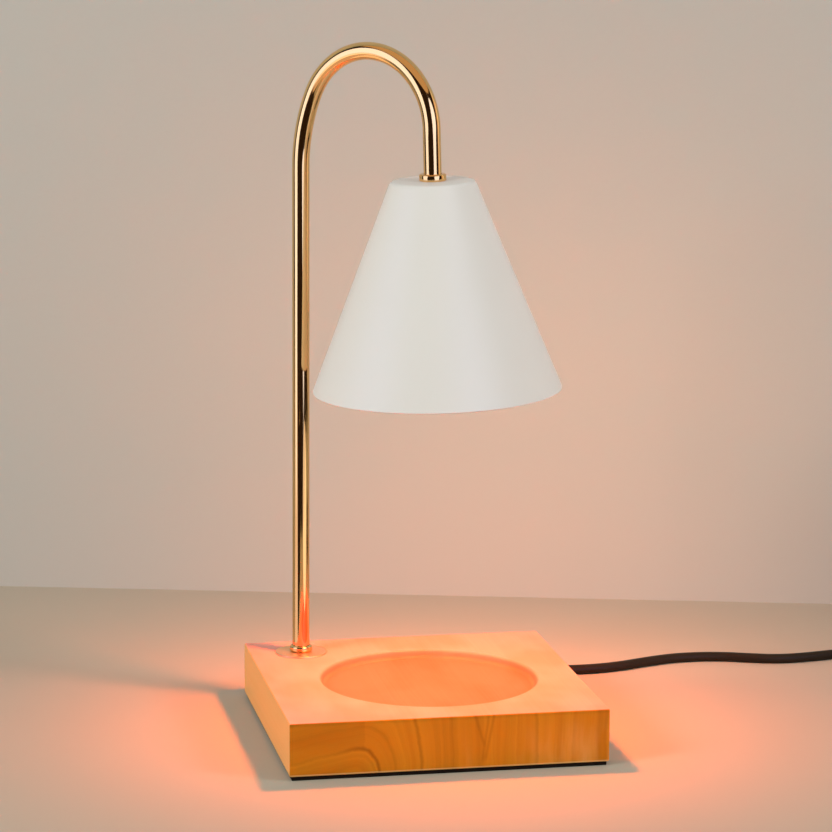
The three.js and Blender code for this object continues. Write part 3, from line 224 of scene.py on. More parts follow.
class Paint(Tree):
    """The node tree of one material, which ends in a Principled BSDF."""

    def __init__(self, name: str) -> None:
        """Makes an empty material with its shader.

        Args:
            name: the material's name.
        """
        self.material = bpy.data.materials.new(name)
        self.material.use_nodes = True
        super().__init__(self.material.node_tree)
        self.tree.nodes.clear()
        self.shader = self.node("ShaderNodeBsdfPrincipled")
        self.end = self.node("ShaderNodeOutputMaterial", {"Surface": self.shader})

    def shade(self, **sockets: object) -> None:
        """Sets or links the shader's sockets, which are named with _ for a space."""
        for name, value in sockets.items():
            self.feed(self.shader.socket.node.inputs[name.replace("_", " ")], value)

    def where(self, scale: Point = (1, 1, 1), centre: Point = (0, 0, 0), space: str = "Object") -> Value:
        """Places on the piece.

        Args:
            scale: how much finer the pattern is along each axis.
            centre: the pattern's own centre, after the scale.
            space: Object, or UV for the piece's own map.

        Returns:
            The place as a vector.
        """
        start = self.node("ShaderNodeTexCoord", output=space)
        return self.node("ShaderNodeMapping", {"Vector": start, "Location": centre, "Scale": scale})

    def parts(self, vector: Value) -> tuple[Value, Value, Value]:
        """The three numbers of a vector."""
        split = self.node("ShaderNodeSeparateXYZ", {"Vector": vector})
        return split, split.other("Y"), split.other("Z")

    def noise(self, vector: Value, scale: float, detail: float = 2.0, rough: float = 0.5) -> Value:
        """Noise about 0.5.

        Args:
            vector: the place.
            scale: how fine the noise is.
            detail: how many finer layers it has.
            rough: how strong these are.

        Returns:
            The noise at each place.
        """
        given = {"Vector": vector, "Scale": scale, "Detail": detail, "Roughness": rough}
        return self.node("ShaderNodeTexNoise", given)

    def cells(self, vector: Value, scale: float, feature: str = "F1") -> Value:
        """The distance to the nearest of scattered points."""
        return self.node("ShaderNodeTexVoronoi", {"Vector": vector, "Scale": scale}, feature=feature)

    def mix(self, share: Value | float, first: Value | Colour, second: Value | Colour, how: str = "MIX") -> Value:
        """Two colours, blended by the share of the second."""
        return self.node("ShaderNodeMix", {0: share, 6: first, 7: second}, 2, data_type="RGBA", blend_type=how)

    def bump(self, height: Value, depth: float, strength: float) -> Value:
        """Normals of a relief whose height of 1 is a depth in metres."""
        return self.node("ShaderNodeBump", {"Height": height, "Distance": depth, "Strength": strength})


class Growth(Tree):
    """A Geometry Nodes tree with named sizes, which ends in Realize Instances and Set Material."""

    def __init__(self, name: str, **sizes: object) -> None:
        """Makes a tree with an input for each size.

        Args:
            name: the tree's name.
            sizes: the value of each size, an int, a float or a material; one is the Material.
        """
        group = bpy.data.node_groups.new(name, "GeometryNodeTree")
        super().__init__(group)
        kinds = {int: "NodeSocketInt", float: "NodeSocketFloat", Material: "NodeSocketMaterial"}
        for way in ("INPUT", "OUTPUT"):
            group.interface.new_socket("Geometry", in_out=way, socket_type="NodeSocketGeometry")
        self.values: dict[str, object] = {}
        for label, value in sizes.items():
            item = group.interface.new_socket(label, in_out="INPUT", socket_type=kinds[type(value)])
            self.values[item.identifier] = value
        self.entry = self.node("NodeGroupInput")

    def size(self, label: str) -> Value:
        """A named size."""
        return self.entry.other(label)

    def swept(self, line: Value, sides: Value | int, radius: Value | float, caps: bool = False) -> Value:
        """A round bar along a line.

        Args:
            line: the line.
            sides: the bar's sides.
            radius: its radius.
            caps: whether its ends are closed.

        Returns:
            The bar.
        """
        section = self.circle(sides, radius)
        return self.node("GeometryNodeCurveToMesh", {"Curve": line, "Profile Curve": section, "Fill Caps": caps})

    def circle(self, sides: Value | int, radius: Value | float) -> Value:
        """A circle about Z."""
        return self.node("GeometryNodeCurvePrimitiveCircle", {"Resolution": sides, "Radius": radius}, mode="RADIUS")

    def spread(self, points: Value, thing: Value, scale: Value | Point = (1, 1, 1)) -> Value:
        """A thing on each of some points."""
        return self.node("GeometryNodeInstanceOnPoints", {"Points": points, "Instance": thing, "Scale": scale})

    def row(self, start: Value, pitch: Value) -> Value:
        """Points in a straight row, as many as the size Count says."""
        given = {"Count": self.size("Count"), "Start Location": start, "Offset": pitch}
        return self.node("GeometryNodeMeshLine", given, mode="OFFSET")

    def grown(self, made: Value, seed: Mesh) -> Mesh:
        """Ends the tree and runs it.

        Args:
            made: the shape that the tree makes.
            seed: the mesh that it starts from, which gives its name.

        Returns:
            The shape as a plain mesh with its faces out.
        """
        plain = self.node("GeometryNodeRealizeInstances", {"Geometry": made})
        smooth = self.node("GeometryNodeSetShadeSmooth", {"Geometry": plain})
        dressed = self.node("GeometryNodeSetMaterial", {"Geometry": smooth, "Material": self.size("Material")})
        self.node("NodeGroupOutput", {"Geometry": dressed})
        obj = held(seed)
        modifier = obj.modifiers.new(self.tree.name, "NODES")
        modifier.node_group = self.tree
        for identifier, value in self.values.items():
            modifier[identifier] = value
        return outward(freed(obj))


# ---------------------------------------------------------------- finishes


@dataclass(frozen=True)
class Finish:
    """A finish, with the name of its material and the record's slot."""

    name: str
    slot: str

    def material(self) -> Material:
        """The finish's material, which is made once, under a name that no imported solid's material has.

        Returns:
            The material.
        """
        name = f"look_{self.name}"
        made = bpy.data.materials.get(name)
        if made is None:
            paint = Paint(name)
            self.paint(paint)
            made = paint.material
        return made

    def paint(self, paint: Paint) -> None:
        """Builds the nodes.

        Args:
            paint: the material's empty tree.
        """
        raise NotImplementedError


@dataclass(frozen=True)
class OiledWood(Finish):
    """Pale oiled wood whose grain runs along Y, so its rings show at the front and the back.

    The rings are lines of one height of a field that rises with X and with Z: they lie flat at the left, bend down
    over a corner and stand upright at the right. A ring has a height, a width and a strength. A vein has a place
    across and up, a slope, a width, a strength and the height where it starts.
    """

    long_grain: Colour = tone(249, 163, 149)
    blotch: Colour = tone(245, 152, 130)
    # The side faces' more orange tone is painted light, for how light falls on the sides.
    lit_flank: Colour = tone(255, 181, 112)
    # The end faces' amber is the darker end grain and painted shade, as the front and back lie out of the light from
    # above.
    shaded_end_grain: Colour = tone(222, 132, 22)
    end_streak: Colour = tone(202, 100, 4)
    end_pale: Colour = tone(240, 160, 84)
    # A paler bottom edge: partly wear, partly a painted highlight for the floor's reflection.
    worn_and_highlit_edge: Colour = tone(240, 190, 130)
    dark_grain: Colour = tone(156, 76, 0)
    # A deeper orange in the dish is a painted pool of warm light.
    dish_light_pool: Colour = tone(255, 195, 161)
    flank_from: Flat = (0.0745, 0.0749)
    end_from: Flat = (0.0742, 0.0746)
    # rim: where the dish's painted pool of light fades out.
    rim: Flat = (0.0512, 0.0531)
    pith_x: float = -0.0471
    pith_z: float = -0.006
    flatness: float = 0.7
    slant: float = 0.19
    sharpness: float = 2.5
    hook: float = 0.0132
    rings: tuple[Point, ...] = (
        (0.0113, 0.0010, 0.3), (0.0132, 0.0011, 0.9), (0.0205, 0.0013, 0.5), (0.0262, 0.0016, 0.1),
        (0.0328, 0.0013, 0.9), (0.0405, 0.0026, 0.4), (0.0440, 0.0018, 0.5), (0.0478, 0.0036, 0.6),
        (0.0560, 0.0020, 0.25), (0.0604, 0.0034, 0.4), (0.0740, 0.0036, 0.25), (0.0872, 0.0014, 0.55),
        (0.0985, 0.0044, 0.3), (0.1050, 0.0020, 0.2), (0.1168, 0.0030, 0.55), (0.1196, 0.0016, 0.5),
    )  # fmt: skip
    veins: tuple[tuple[float, ...], ...] = (
        (0.0159, 0.0055, 0.19, 0.0013, 0.6, 0.0036),
        (0.0147, 0.0058, 0.13, 0.0012, 0.55, 0.0036),
        (0.0155, 0.0128, -0.318, 0.0014, 0.5, 0.0112),
    )

    def field(self, paint: Paint, x: Value, y: Value, z: Value) -> Value:
        """The ring field.

        Args:
            paint: the material's tree.
            x, y, z: the place.

        Returns:
            Its height at the place, in metres.
        """
        sway = paint.noise(paint.where((1, 0.3, 1)), 46, 3) - 0.5
        lift = paint.noise(paint.where((1, 0.3, 1), (3, 0, 5)), 70, 3) - 0.5
        right = (x - self.pith_x + sway * 0.004).most(0.00001)
        above = ((z - self.pith_z - (x - self.pith_x) * self.slant + lift * 0.003) * self.flatness).most(0.00001)
        waver = paint.noise(paint.where((1, 0.1, 1)), 420, 3) - 0.5
        return (right**self.sharpness + above**self.sharpness) ** (1 / self.sharpness) + waver * 0.0007 + y * 0.006

    def dark(self, field: Value, flecks: Value, x: Value, z: Value) -> Value:
        """How dark the rings, the hook and the veins are.

        Args:
            field: the ring field.
            flecks: what the veins waver by.
            x, z: the place.

        Returns:
            The darkness.
        """
        dark: Value | float = 0.0
        for place, width, strength in self.rings:
            dark = field.line(place, width) * strength + dark
        dark = dark * (x.step(-0.052, -0.036) * 0.65 + 0.35)
        dark = field.line(self.hook, 0.0013) * x.step(-0.062, -0.043) * 0.5 + dark
        for across, up, slope, width, strength, start in self.veins:
            line = (x - across - (z - up) * slope + (flecks - 0.5) * 0.0012).line(0.0, width)
            dark = line * z.step(start, start + 0.004) * strength + dark
        return dark

    def paint(self, paint: Paint) -> None:
        """Builds the grain.

        Args:
            paint: the material's empty tree.
        """
        x, y, z = paint.parts(paint.where())
        field = self.field(paint, x, y, z)
        flecks = paint.noise(paint.where((1, 0.5, 1)), 120, 4, 0.65)
        dark = self.dark(field, flecks, x, z)
        bands = paint.noise(paint.vector(field * 190, y * 2.5), 1.0, 4, 0.6)
        fine = paint.noise(paint.vector(field * 1400, y * 9, z * 25), 1.0, 3, 0.6)
        pores = paint.noise(paint.where((1, 0.15, 1)), 2300, 2)
        streaks = ((bands - 0.4) * 1.6).share()

        # The dish is painted a deeper orange: a painted pool of warm light.
        middle_x, middle_y = x - DISH_X, y - DISH_Y
        dish = 1 - (middle_x * middle_x + middle_y * middle_y).root().step(*self.rim)
        clouds = paint.noise(paint.where((1, 0.6, 1)), 34, 2)
        plain = paint.mix(((clouds - 0.42) * 5).share(), self.long_grain, self.blotch)
        # The side faces take a more orange tone: painted light for how they are lit.
        plain = paint.mix(x.size().step(*self.flank_from), plain, self.lit_flank)
        dish_lit = paint.mix(dish, plain, self.dish_light_pool, "MULTIPLY")
        bow = paint.noise(paint.where((0, 1, 0.3)), 9, 2) - 0.5
        figure = paint.noise(paint.vector(z * 170 + bow * 4, y * 4), 1.0, 4, 0.6)
        lines = ((figure - 0.46) * 2.0).most(0.0).least(0.5) * x.step(*self.flank_from)
        side = (dark * 0.05 + (fine - 0.5) * 0.08 + streaks * 0.05 + lines).most(0.0)
        side = paint.mix(side, dish_lit, self.dark_grain)

        smears = paint.noise(paint.vector(x * 90, z * 22), 1.0, 3, 0.55)
        middle = x.line(0.0073, 0.0045)
        place = x.step(0.020, 0.060) * z.step(0.027, 0.008) * 0.9 + middle * z.step(0.022, 0.006) * 0.5
        pale = ((smears - 0.36) * 2.6).share() * place
        # The end faces' colours carry painted shade as well as the darker end grain.
        face = paint.mix(pale, paint.mix(streaks, self.shaded_end_grain, self.end_streak), self.end_pale)
        seam = x + (flecks - 0.5) * 0.003
        left = x.step(-0.03, -0.06) * 0.12 + seam.step(-0.0396, -0.0406) * z.step(0.012, 0.018) * 0.16
        # Darkness of the end faces: the grain's rings, fibres and pores, darker towards the left and along a seam,
        # and painted shade along the top edge's round.
        shadow = dark * 0.5 + (fine - 0.45) * 0.26 + (pores - 0.5) * 0.12 + (left + z.step(0.0250, 0.0266) * 0.22)
        shaded = paint.mix(shadow.share(), face, self.dark_grain)
        # Paler along the bottom edge of the end faces: partly wear, partly a painted highlight for the floor's
        # reflection.
        end = paint.mix(z.step(0.0031, 0.0027) * 0.55, shaded, self.worn_and_highlit_edge)

        height = fine * 0.5 + pores * 0.3 - dark * 0.2
        colour = paint.mix(y.size().step(*self.end_from), side, end)
        paint.shade(Base_Color=colour, Roughness=0.5 + (fine - 0.5) * 0.16)
        paint.shade(Normal=paint.bump(height, 0.0001, 0.4), Specular_IOR_Level=0.1)


@dataclass(frozen=True)
class Metal(Finish):
    """Metal with faint wear and a fine grain in its polish."""

    colour: Colour
    dull: Colour
    roughness: float
    grain: float = 0.04
    depth: float = 0.00001
    scale: float = 260.0

    def paint(self, paint: Paint) -> None:
        """Builds the polish.

        Args:
            paint: the material's empty tree.
        """
        cloud = paint.noise(paint.where(), self.scale * 0.12, 3)
        grain = paint.noise(paint.where((1, 1, 0.2)), self.scale * 6, 3)
        colour = paint.mix((cloud - 0.35).share(), self.colour, self.dull)
        rough = self.roughness + (grain - 0.5) * self.grain + (cloud - 0.5) * self.grain
        paint.shade(Base_Color=colour, Roughness=rough, Metallic=1.0, Normal=paint.bump(grain, self.depth, 0.2))


@dataclass(frozen=True)
class SatinPaint(Finish):
    """Sprayed satin paint with a faint orange peel."""

    colour: Colour
    shadow: Colour
    roughness: float = 0.42

    def paint(self, paint: Paint) -> None:
        """Builds the peel.

        Args:
            paint: the material's empty tree.
        """
        cloud = paint.noise(paint.where(), 22, 2)
        peel = paint.noise(paint.where(), 1400, 2)
        rough = self.roughness + (cloud - 0.5) * 0.08
        paint.shade(Base_Color=paint.mix(cloud * 0.5, self.colour, self.shadow), Roughness=rough)
        paint.shade(Normal=paint.bump(peel, 0.00002, 0.35))


@dataclass(frozen=True)
class Moulded(Finish):
    """Moulded plastic, rubber or nylon with the fine texture of its mould."""

    colour: Colour
    worn: Colour
    roughness: float
    grain: float = 2600.0

    def paint(self, paint: Paint) -> None:
        """Builds the texture.

        Args:
            paint: the material's empty tree.
        """
        texture = paint.noise(paint.where(), self.grain, 3, 0.65)
        cloud = paint.noise(paint.where(), 90, 3)
        colour = paint.mix((texture * 0.5 + cloud * 0.5 - 0.3).most(0.0), self.colour, self.worn)
        rough = self.roughness + (cloud - 0.5) * 0.14
        paint.shade(Base_Color=colour, Roughness=rough, Normal=paint.bump(texture, 0.00004, 0.5))
        paint.shade(Specular_IOR_Level=0.2)


@dataclass(frozen=True)
class CordJacket(Finish):
    """Extruded cord jacket, with faint drawing lines along it."""

    colour: Colour
    worn: Colour

    def paint(self, paint: Paint) -> None:
        """Builds the jacket on the cord's own map.

        Args:
            paint: the material's empty tree.
        """
        lines = paint.noise(paint.where((6, 60, 1), space="UV"), 1.0, 3, 0.6)
        cloud = paint.noise(paint.where((45, 3, 1), space="UV"), 1.0, 3)
        dust = paint.noise(paint.where(), 1500, 2)
        colour = paint.mix((cloud * 0.6 + dust * 0.4 - 0.25).most(0.0), self.colour, self.worn)
        height = lines * 0.7 + dust * 0.3
        paint.shade(Base_Color=colour, Roughness=0.46 + (cloud - 0.5) * 0.2, Specular_IOR_Level=0.2)
        paint.shade(Normal=paint.bump(height, 0.00004, 0.5))


@dataclass(frozen=True)
class Foam(Finish):
    """Closed-cell foam."""

    colour: Colour
    cell: Colour

    def paint(self, paint: Paint) -> None:
        """Builds the cells.

        Args:
            paint: the material's empty tree.
        """
        cells = paint.cells(paint.where(), 1800)
        cloud = paint.noise(paint.where(), 60, 3)
        colour = paint.mix((cells * 0.8).least(1.0), self.colour, self.cell)
        paint.shade(Base_Color=colour, Roughness=0.86 + (cloud - 0.5) * 0.1, Specular_IOR_Level=0.1)
        paint.shade(Normal=paint.bump(cells, 0.00015, 0.7))


@dataclass(frozen=True)
class Glazed(Finish):
    """Fired ceramic with fine specks."""

    colour: Colour
    speck: Colour

    def paint(self, paint: Paint) -> None:
        """Builds the specks.

        Args:
            paint: the material's empty tree.
        """
        specks = paint.noise(paint.where(), 1100, 3, 0.7).step(0.6, 0.7)
        cloud = paint.noise(paint.where(), 70, 3)
        colour = paint.mix(specks * 0.35 + (cloud - 0.5).most(0.0) * 0.4, self.colour, self.speck)
        paint.shade(Base_Color=colour, Roughness=0.42 + (cloud - 0.5) * 0.2, Normal=paint.bump(specks, 0.00002, 0.4))


@dataclass(frozen=True)
class Glass(Finish):
    """Clear glass with faint waves."""

    colour: Colour

    def paint(self, paint: Paint) -> None:
        """Builds the glass.

        Args:
            paint: the material's empty tree.
        """
        waves = paint.noise(paint.where(), 160, 2)
        rough = 0.04 + (waves - 0.5) * 0.03
        paint.shade(Base_Color=self.colour, Roughness=rough, Normal=paint.bump(waves, 0.00005, 0.3))
        paint.shade(Transmission_Weight=1.0, IOR=1.46)


@dataclass(frozen=True)
class Mirror(Finish):
    """A coated reflector, whose tint turns from gold to rose along its depth."""

    first: Colour
    second: Colour

    def paint(self, paint: Paint) -> None:
        """Builds the coating.

        Args:
            paint: the material's empty tree.
        """
        _, _, height = paint.parts(paint.where())
        film = paint.noise(paint.where(), 90, 3)
        colour = paint.mix(((height - 0.18) * 22 + film * 0.4).share(), self.first, self.second)
        paint.shade(Base_Color=colour, Metallic=0.9, Roughness=0.14 + (film - 0.5) * 0.1)


@dataclass(frozen=True)
class Glow(Finish):
    """Hot wire."""

    cold: Colour
    colour: Colour
    hottest: Colour
    strength: float

    def paint(self, paint: Paint) -> None:
        """Builds the glow.

        Args:
            paint: the material's empty tree.
        """
        heat = paint.noise(paint.where(), 900, 2)
        colour = paint.mix((heat - 0.3).share(), self.colour, self.hottest)
        paint.shade(Base_Color=self.cold, Emission_Color=colour, Emission_Strength=self.strength)


@dataclass(frozen=True)
class Circuit(Finish):
    """Circuit board with its tracks under a green mask."""

    mask: Colour
    track: Colour

    def paint(self, paint: Paint) -> None:
        """Builds the tracks.

        Args:
            paint: the material's empty tree.
        """
        tracks = paint.cells(paint.where((1, 0.4, 1)), 260, "DISTANCE_TO_EDGE").step(0.03, 0.06)
        dust = paint.noise(paint.where(), 700, 3)
        paint.shade(Base_Color=paint.mix(tracks, self.track, self.mask), Roughness=0.35 + (dust - 0.5) * 0.2)
        paint.shade(Normal=paint.bump(tracks, 0.00004, 0.6))


WOOD = OiledWood("oiled_wood", "wood")
GOLD = Metal("polished_gold", "gold", tone(248, 203, 138), tone(236, 184, 116), 0.09, 0.03)
SATIN_GOLD = Metal("satin_gold", "gold", tone(255, 208, 160), tone(250, 196, 142), 0.42, 0.06)
STEEL = Metal("zinc_steel", "steel", tone(196, 198, 200), tone(150, 148, 140), 0.3, 0.12, 0.00002)
BRASS = Metal("turned_brass", "brass", tone(214, 178, 104), tone(176, 134, 70), 0.26, 0.1, 0.00002)
SHADE_PAINT = SatinPaint("white_satin_paint", "white_paint", tone(250, 229, 228), tone(245, 223, 220))
SHADE_LINING = SatinPaint("white_lining_paint", "white_paint", tone(244, 238, 228), tone(236, 226, 212), 0.6)
FOAM = Foam("black_foam", "foam", tone(22, 14, 8), tone(44, 30, 20))
JACKET = CordJacket("cord_jacket", "black_rubber", tone(34, 24, 14), tone(52, 40, 28))
RUBBER = Moulded("black_rubber", "black_rubber", tone(26, 22, 20), tone(44, 38, 34), 0.55)
PLASTIC = Moulded("black_plastic", "black_plastic", tone(27, 26, 25), tone(44, 42, 40), 0.4)
NYLON = Moulded("white_nylon", "white_nylon", tone(226, 223, 214), tone(204, 198, 186), 0.5, 900)
SLEEVING = Moulded("grey_sleeving", "white_nylon", tone(208, 202, 190), tone(180, 172, 158), 0.6, 700)
INLAY = Moulded("white_inlay", "white_nylon", tone(236, 234, 228), tone(210, 206, 196), 0.5, 1400)
CERAMIC = Glazed("ceramic", "ceramic", tone(238, 232, 220), tone(196, 184, 164))
CLEAR_GLASS = Glass("clear_glass", "clear_glass", tone(255, 250, 240))
MIRROR = Mirror("coated_mirror", "mirror_glass", tone(232, 206, 160), tone(214, 180, 190))
HOT_WIRE = Glow("hot_wire", "steel", tone(90, 80, 70), tone(255, 178, 92), tone(255, 236, 190), 60.0)
BOARD = Circuit("circuit_board", "circuit_board", tone(32, 84, 52), tone(120, 150, 84))


# ---------------------------------------------------------------- meshes


def arc(x: float, z: float, radius: float, start: float, end: float, steps: int) -> list[Flat]:
    """Points on a share of a circle.

    Args:
        x, z: its centre.
        radius: its radius.
        start, end: its first and last angle, in degrees.
        steps: how many steps it has.

    Returns:
        The points.
    """
    angles = (math.radians(start + (end - start) * i / steps) for i in range(steps + 1))
    return [(x + radius * math.cos(a), z + radius * math.sin(a)) for a in angles]


def rounded(width: float, depth: float, corner: float, steps: int = 8) -> list[Flat]:
    """The outline of a rectangle with round corners, counter-clockwise.

    Args:
        width, depth: its size.
        corner: the radius of its corners.
        steps: a corner's steps.

    Returns:
        Its points.
    """
    x, y = width / 2 - corner, depth / 2 - corner
    places = [(x, y, 0), (-x, y, 90), (-x, -y, 180), (x, -y, 270)]
    return [point for cx, cy, turn in places for point in arc(cx, cy, corner, turn, turn + 90, steps)]


def at(x: float, y: float, z: float = 0.0) -> Matrix:
    """The placing that puts the origin at a point."""
    return Matrix.Translation((x, y, z))


def towards(point: Sequence[float], *direction: float) -> Matrix:
    """The placing that puts the origin at a point and turns +Z to a direction."""
    return at(*point) @ UPRIGHT.rotation_difference(Vector(direction)).to_matrix().to_4x4()


POLE_FOOT = at(POLE_X, POLE_Y)
HEAD_PLACE = towards(HEAD, *HEAD_UP)


def moved(mesh: Mesh, where: Matrix) -> Mesh:
    """A mesh, put in its place."""
    mesh.transform(where)
    return mesh


def outward(mesh: Mesh, merged: float = 0.0) -> Mesh:
    """Turns a mesh's faces out.

    Args:
        mesh: the mesh.
        merged: how near points have to be to merge, or 0 to leave them all.

    Returns:
        The same mesh.
    """
    work = bmesh.new()
    work.from_mesh(mesh)
    if merged:
        bmesh.ops.remove_doubles(work, verts=work.verts, dist=merged)
    bmesh.ops.recalc_face_normals(work, faces=work.faces)
    work.to_mesh(mesh)
    work.free()
    return mesh


def smoothed(mesh: Mesh, angle: float = 32.0) -> Mesh:
    """Gives a mesh smooth faces and sharp edges.

    Args:
        mesh: the mesh.
        angle: the angle in degrees from which an edge is sharp.

    Returns:
        The same mesh.
    """
    mesh.shade_smooth()
    mesh.set_sharp_from_angle(angle=math.radians(angle))
    return mesh


def raw(
    name: str, points: Iterable[Sequence[float]], edges: Iterable[Sequence[int]], faces: Iterable[Sequence[int]]
) -> Mesh:
    """A mesh as its points, edges and faces say.

    Args:
        name: the mesh's name.
        points: its points.
        edges: its loose edges.
        faces: its faces.

    Returns:
        The mesh.
    """
    mesh = bpy.data.meshes.new(name)
    mesh.from_pydata([tuple(p) for p in points], list(edges), [tuple(f) for f in faces])
    return mesh


def stacked(name: str, rings: Sequence[Sequence[Sequence[float]]], closed: bool = False) -> Mesh:
    """A mesh through a row of rings with as many points each.

    Args:
        name: the mesh's name.
        rings: the rings; one of a single point is a pole.
        closed: whether the last ring joins the first. Otherwise the ends are closed by a face.

    Returns:
        The mesh, with its faces out and its hard edges sharp.
    """
    starts = [0, *accumulate(len(ring) for ring in rings)]
    last = len(rings) - 1
    faces: list[Sequence[int]] = []
    for low, high in [(k, k + 1) for k in range(last)] + [(last, 0)] * closed:
        count = max(len(rings[low]), len(rings[high]))
        for i in range(count):
            j = (i + 1) % count
            a, b = (starts[low] + i, starts[low] + j) if len(rings[low]) > 1 else (starts[low],) * 2
            c, d = (starts[high] + j, starts[high] + i) if len(rings[high]) > 1 else (starts[high],) * 2
            faces.append(list(dict.fromkeys((a, b, c, d))))
    if not closed:
        faces += [range(starts[k], starts[k + 1]) for k in (0, last) if len(rings[k]) > 1]
    return smoothed(outward(raw(name, (p for ring in rings for p in ring), [], faces), MERGED))


def turned(name: str, profile: Sequence[Flat], steps: int = 96) -> Mesh:
    """A profile turned about Z; one that doesn't start and end on the axis closes on itself.

    Args:
        name: the mesh's name.
        profile: its points, as radius and height.
        steps: the steps round the axis.

    Returns:
        The mesh.
    """
    turns = [(math.cos(2 * math.pi * i / steps), math.sin(2 * math.pi * i / steps)) for i in range(steps)]
    rings = [[(r * c, r * s, z) for c, s in turns] if r > 0 else [(0.0, 0.0, z)] for r, z in profile]
    return stacked(name, rings, closed=profile[0][0] > 0)


def rod(radius: float, low: float, high: float, steps: int, where: Matrix | None = None) -> Mesh:
    """A cylinder between two heights, put in its place."""
    mesh = turned("rod", [(0, low), (radius, low), (radius, high), (0, high)], steps)
    return moved(mesh, where or Matrix())


def boxed(name: str, low: Point, high: Point, edge: float = 0.0, steps: int = 3) -> Mesh:
    """A box with rounded edges.

    Args:
        name: the mesh's name.
        low, high: its corners.
        edge: the radius of its edges.
        steps: their steps.

    Returns:
        The mesh.
    """
    mesh = bpy.data.meshes.new(name)
    work = bmesh.new()
    bmesh.ops.create_cube(work, size=1.0)
    for vertex in work.verts:
        vertex.co = Vector(a if c < 0 else b for a, b, c in zip(low, high, vertex.co, strict=True))
    if edge > 0:
        bmesh.ops.bevel(work, geom=work.edges[:], offset=edge, segments=steps, profile=0.5, affect="EDGES")
    work.to_mesh(mesh)
    work.free()
    return smoothed(outward(mesh))


def extruded(name: str, outline: Sequence[Flat], low: float, high: float) -> Mesh:
    """An outline raised from a height to another."""
    return stacked(name, [[(x, y, z) for x, y in outline] for z in (low, high)])


def linked(name: str, data: bpy.types.ID) -> Object:
    """An object in the scene with a mesh, a camera or a light.

    Args:
        name: the object's name.
        data: the mesh, the camera or the light.

    Returns:
        The object.
    """
    obj = bpy.data.objects.new(name, data)
    bpy.context.scene.collection.objects.link(obj)
    return obj


def held(mesh: Mesh, *materials: Material) -> Object:
    """An object that holds a mesh and its materials.

    Args:
        mesh: the mesh, whose name is the object's.
        materials: the materials of its slots.

    Returns:
        The object.
    """
    for material in materials:
        mesh.materials.append(material)
    return linked(mesh.name.partition(".")[0], mesh)


def settled(obj: Object) -> Object:
    """Works an object's modifiers into its mesh.

    Args:
        obj: the object.

    Returns:
        The same object, without modifiers.
    """
    graph = bpy.context.evaluated_depsgraph_get()
    plain = bpy.data.meshes.new_from_object(obj.evaluated_get(graph), preserve_all_data_layers=True, depsgraph=graph)
    obj.modifiers.clear()
    obj.data = plain
    return obj


def freed(obj: Object) -> Mesh:
    """Takes the mesh out of an object, with its modifiers worked in.

    Args:
        obj: the object, which is removed.

    Returns:
        The mesh.
    """
    mesh = settled(obj).data
    bpy.data.objects.remove(obj)
    return mesh


def cut(mesh: Mesh, *tools: Mesh) -> Mesh:
    """A mesh with others cut out of it.

    Args:
        mesh: the body.
        tools: the closed meshes that are taken away.

    Returns:
        What is left, with even shading on its flat faces.
    """
    body = held(mesh)
    cutters = [held(tool) for tool in tools]
    for cutter in cutters:
        modifier = body.modifiers.new("cut", "BOOLEAN")
        modifier.operation, modifier.solver, modifier.object = "DIFFERENCE", "EXACT", cutter
    settled(body)
    for cutter in cutters:
        bpy.data.objects.remove(cutter)
    smoothed(body.data)
    body.modifiers.new("even", "WEIGHTED_NORMAL").keep_sharp = True
    return freed(body)


def joined(name: str, meshes: Iterable[Mesh]) -> Mesh:
    """Several meshes as one.

    Args:
        name: the new mesh's name.
        meshes: the meshes.

    Returns:
        The new mesh.
    """
    work = bmesh.new()
    for mesh in meshes:
        work.from_mesh(mesh)
    made = bpy.data.meshes.new(name)
    work.to_mesh(made)
    work.free()
    return smoothed(made)


def steps_of(points: Sequence[Vector]) -> list[Vector]:
    """The steps between the points of a line."""
    return [b - a for a, b in zip(points, points[1:], strict=False)]


def distances(points: Sequence[Vector]) -> list[float]:
    """How far along a line each of its points is."""
    return [0.0, *accumulate(step.length for step in steps_of(points))]


def smooth_route(points: Sequence[Point], spacing: float = 0.0022) -> list[Vector]:
    """Evenly spaced points on the centripetal curve through the given ones, straight at both ends.

    Args:
        points: the points that the curve passes.
        spacing: the distance between the new ones.

    Returns:
        The new points.
    """
    first, *rest, last = [Vector(p) for p in points]
    ends = [2 * rest[0] - rest[1], *rest, 2 * rest[-1] - rest[-2]]
    dense: list[Vector] = []
    for a, b, c, d in zip(ends, ends[1:], ends[2:], ends[3:], strict=False):
        before, here, after = ((q - p).length ** 0.5 for p, q in ((a, b), (b, c), (c, d)))
        start = ((b - a) / before - (c - a) / (before + here) + (c - b) / here) * here
        stop = ((c - b) / here - (d - b) / (here + after) + (d - c) / after) * here
        cubic = 2 * b - 2 * c + start + stop
        square = -3 * b + 3 * c - 2 * start - stop
        dense += [b + start * t + square * t * t + cubic * t * t * t for t in (i / 40 for i in range(40))]
    return [first, *evened([*dense, rest[-1]], spacing), last]


def evened(points: Sequence[Vector], spacing: float) -> list[Vector]:
    """Points at even distances along a dense line.

    Args:
        points: the line.
        spacing: the distance, which is fitted to the line's length.

    Returns:
        The new points, with both ends.
    """
    reached = distances(points)
    count = max(1, math.ceil(reached[-1] / spacing))
    made, k = [], 0
    for i in range(count + 1):
        goal = reached[-1] * i / count
        while k < len(points) - 2 and reached[k + 1] < goal:
            k += 1
        share = (goal - reached[k]) / max(reached[k + 1] - reached[k], 1e-12)
        made.append(points[k].lerp(points[k + 1], min(share, 1.0)))
    return made


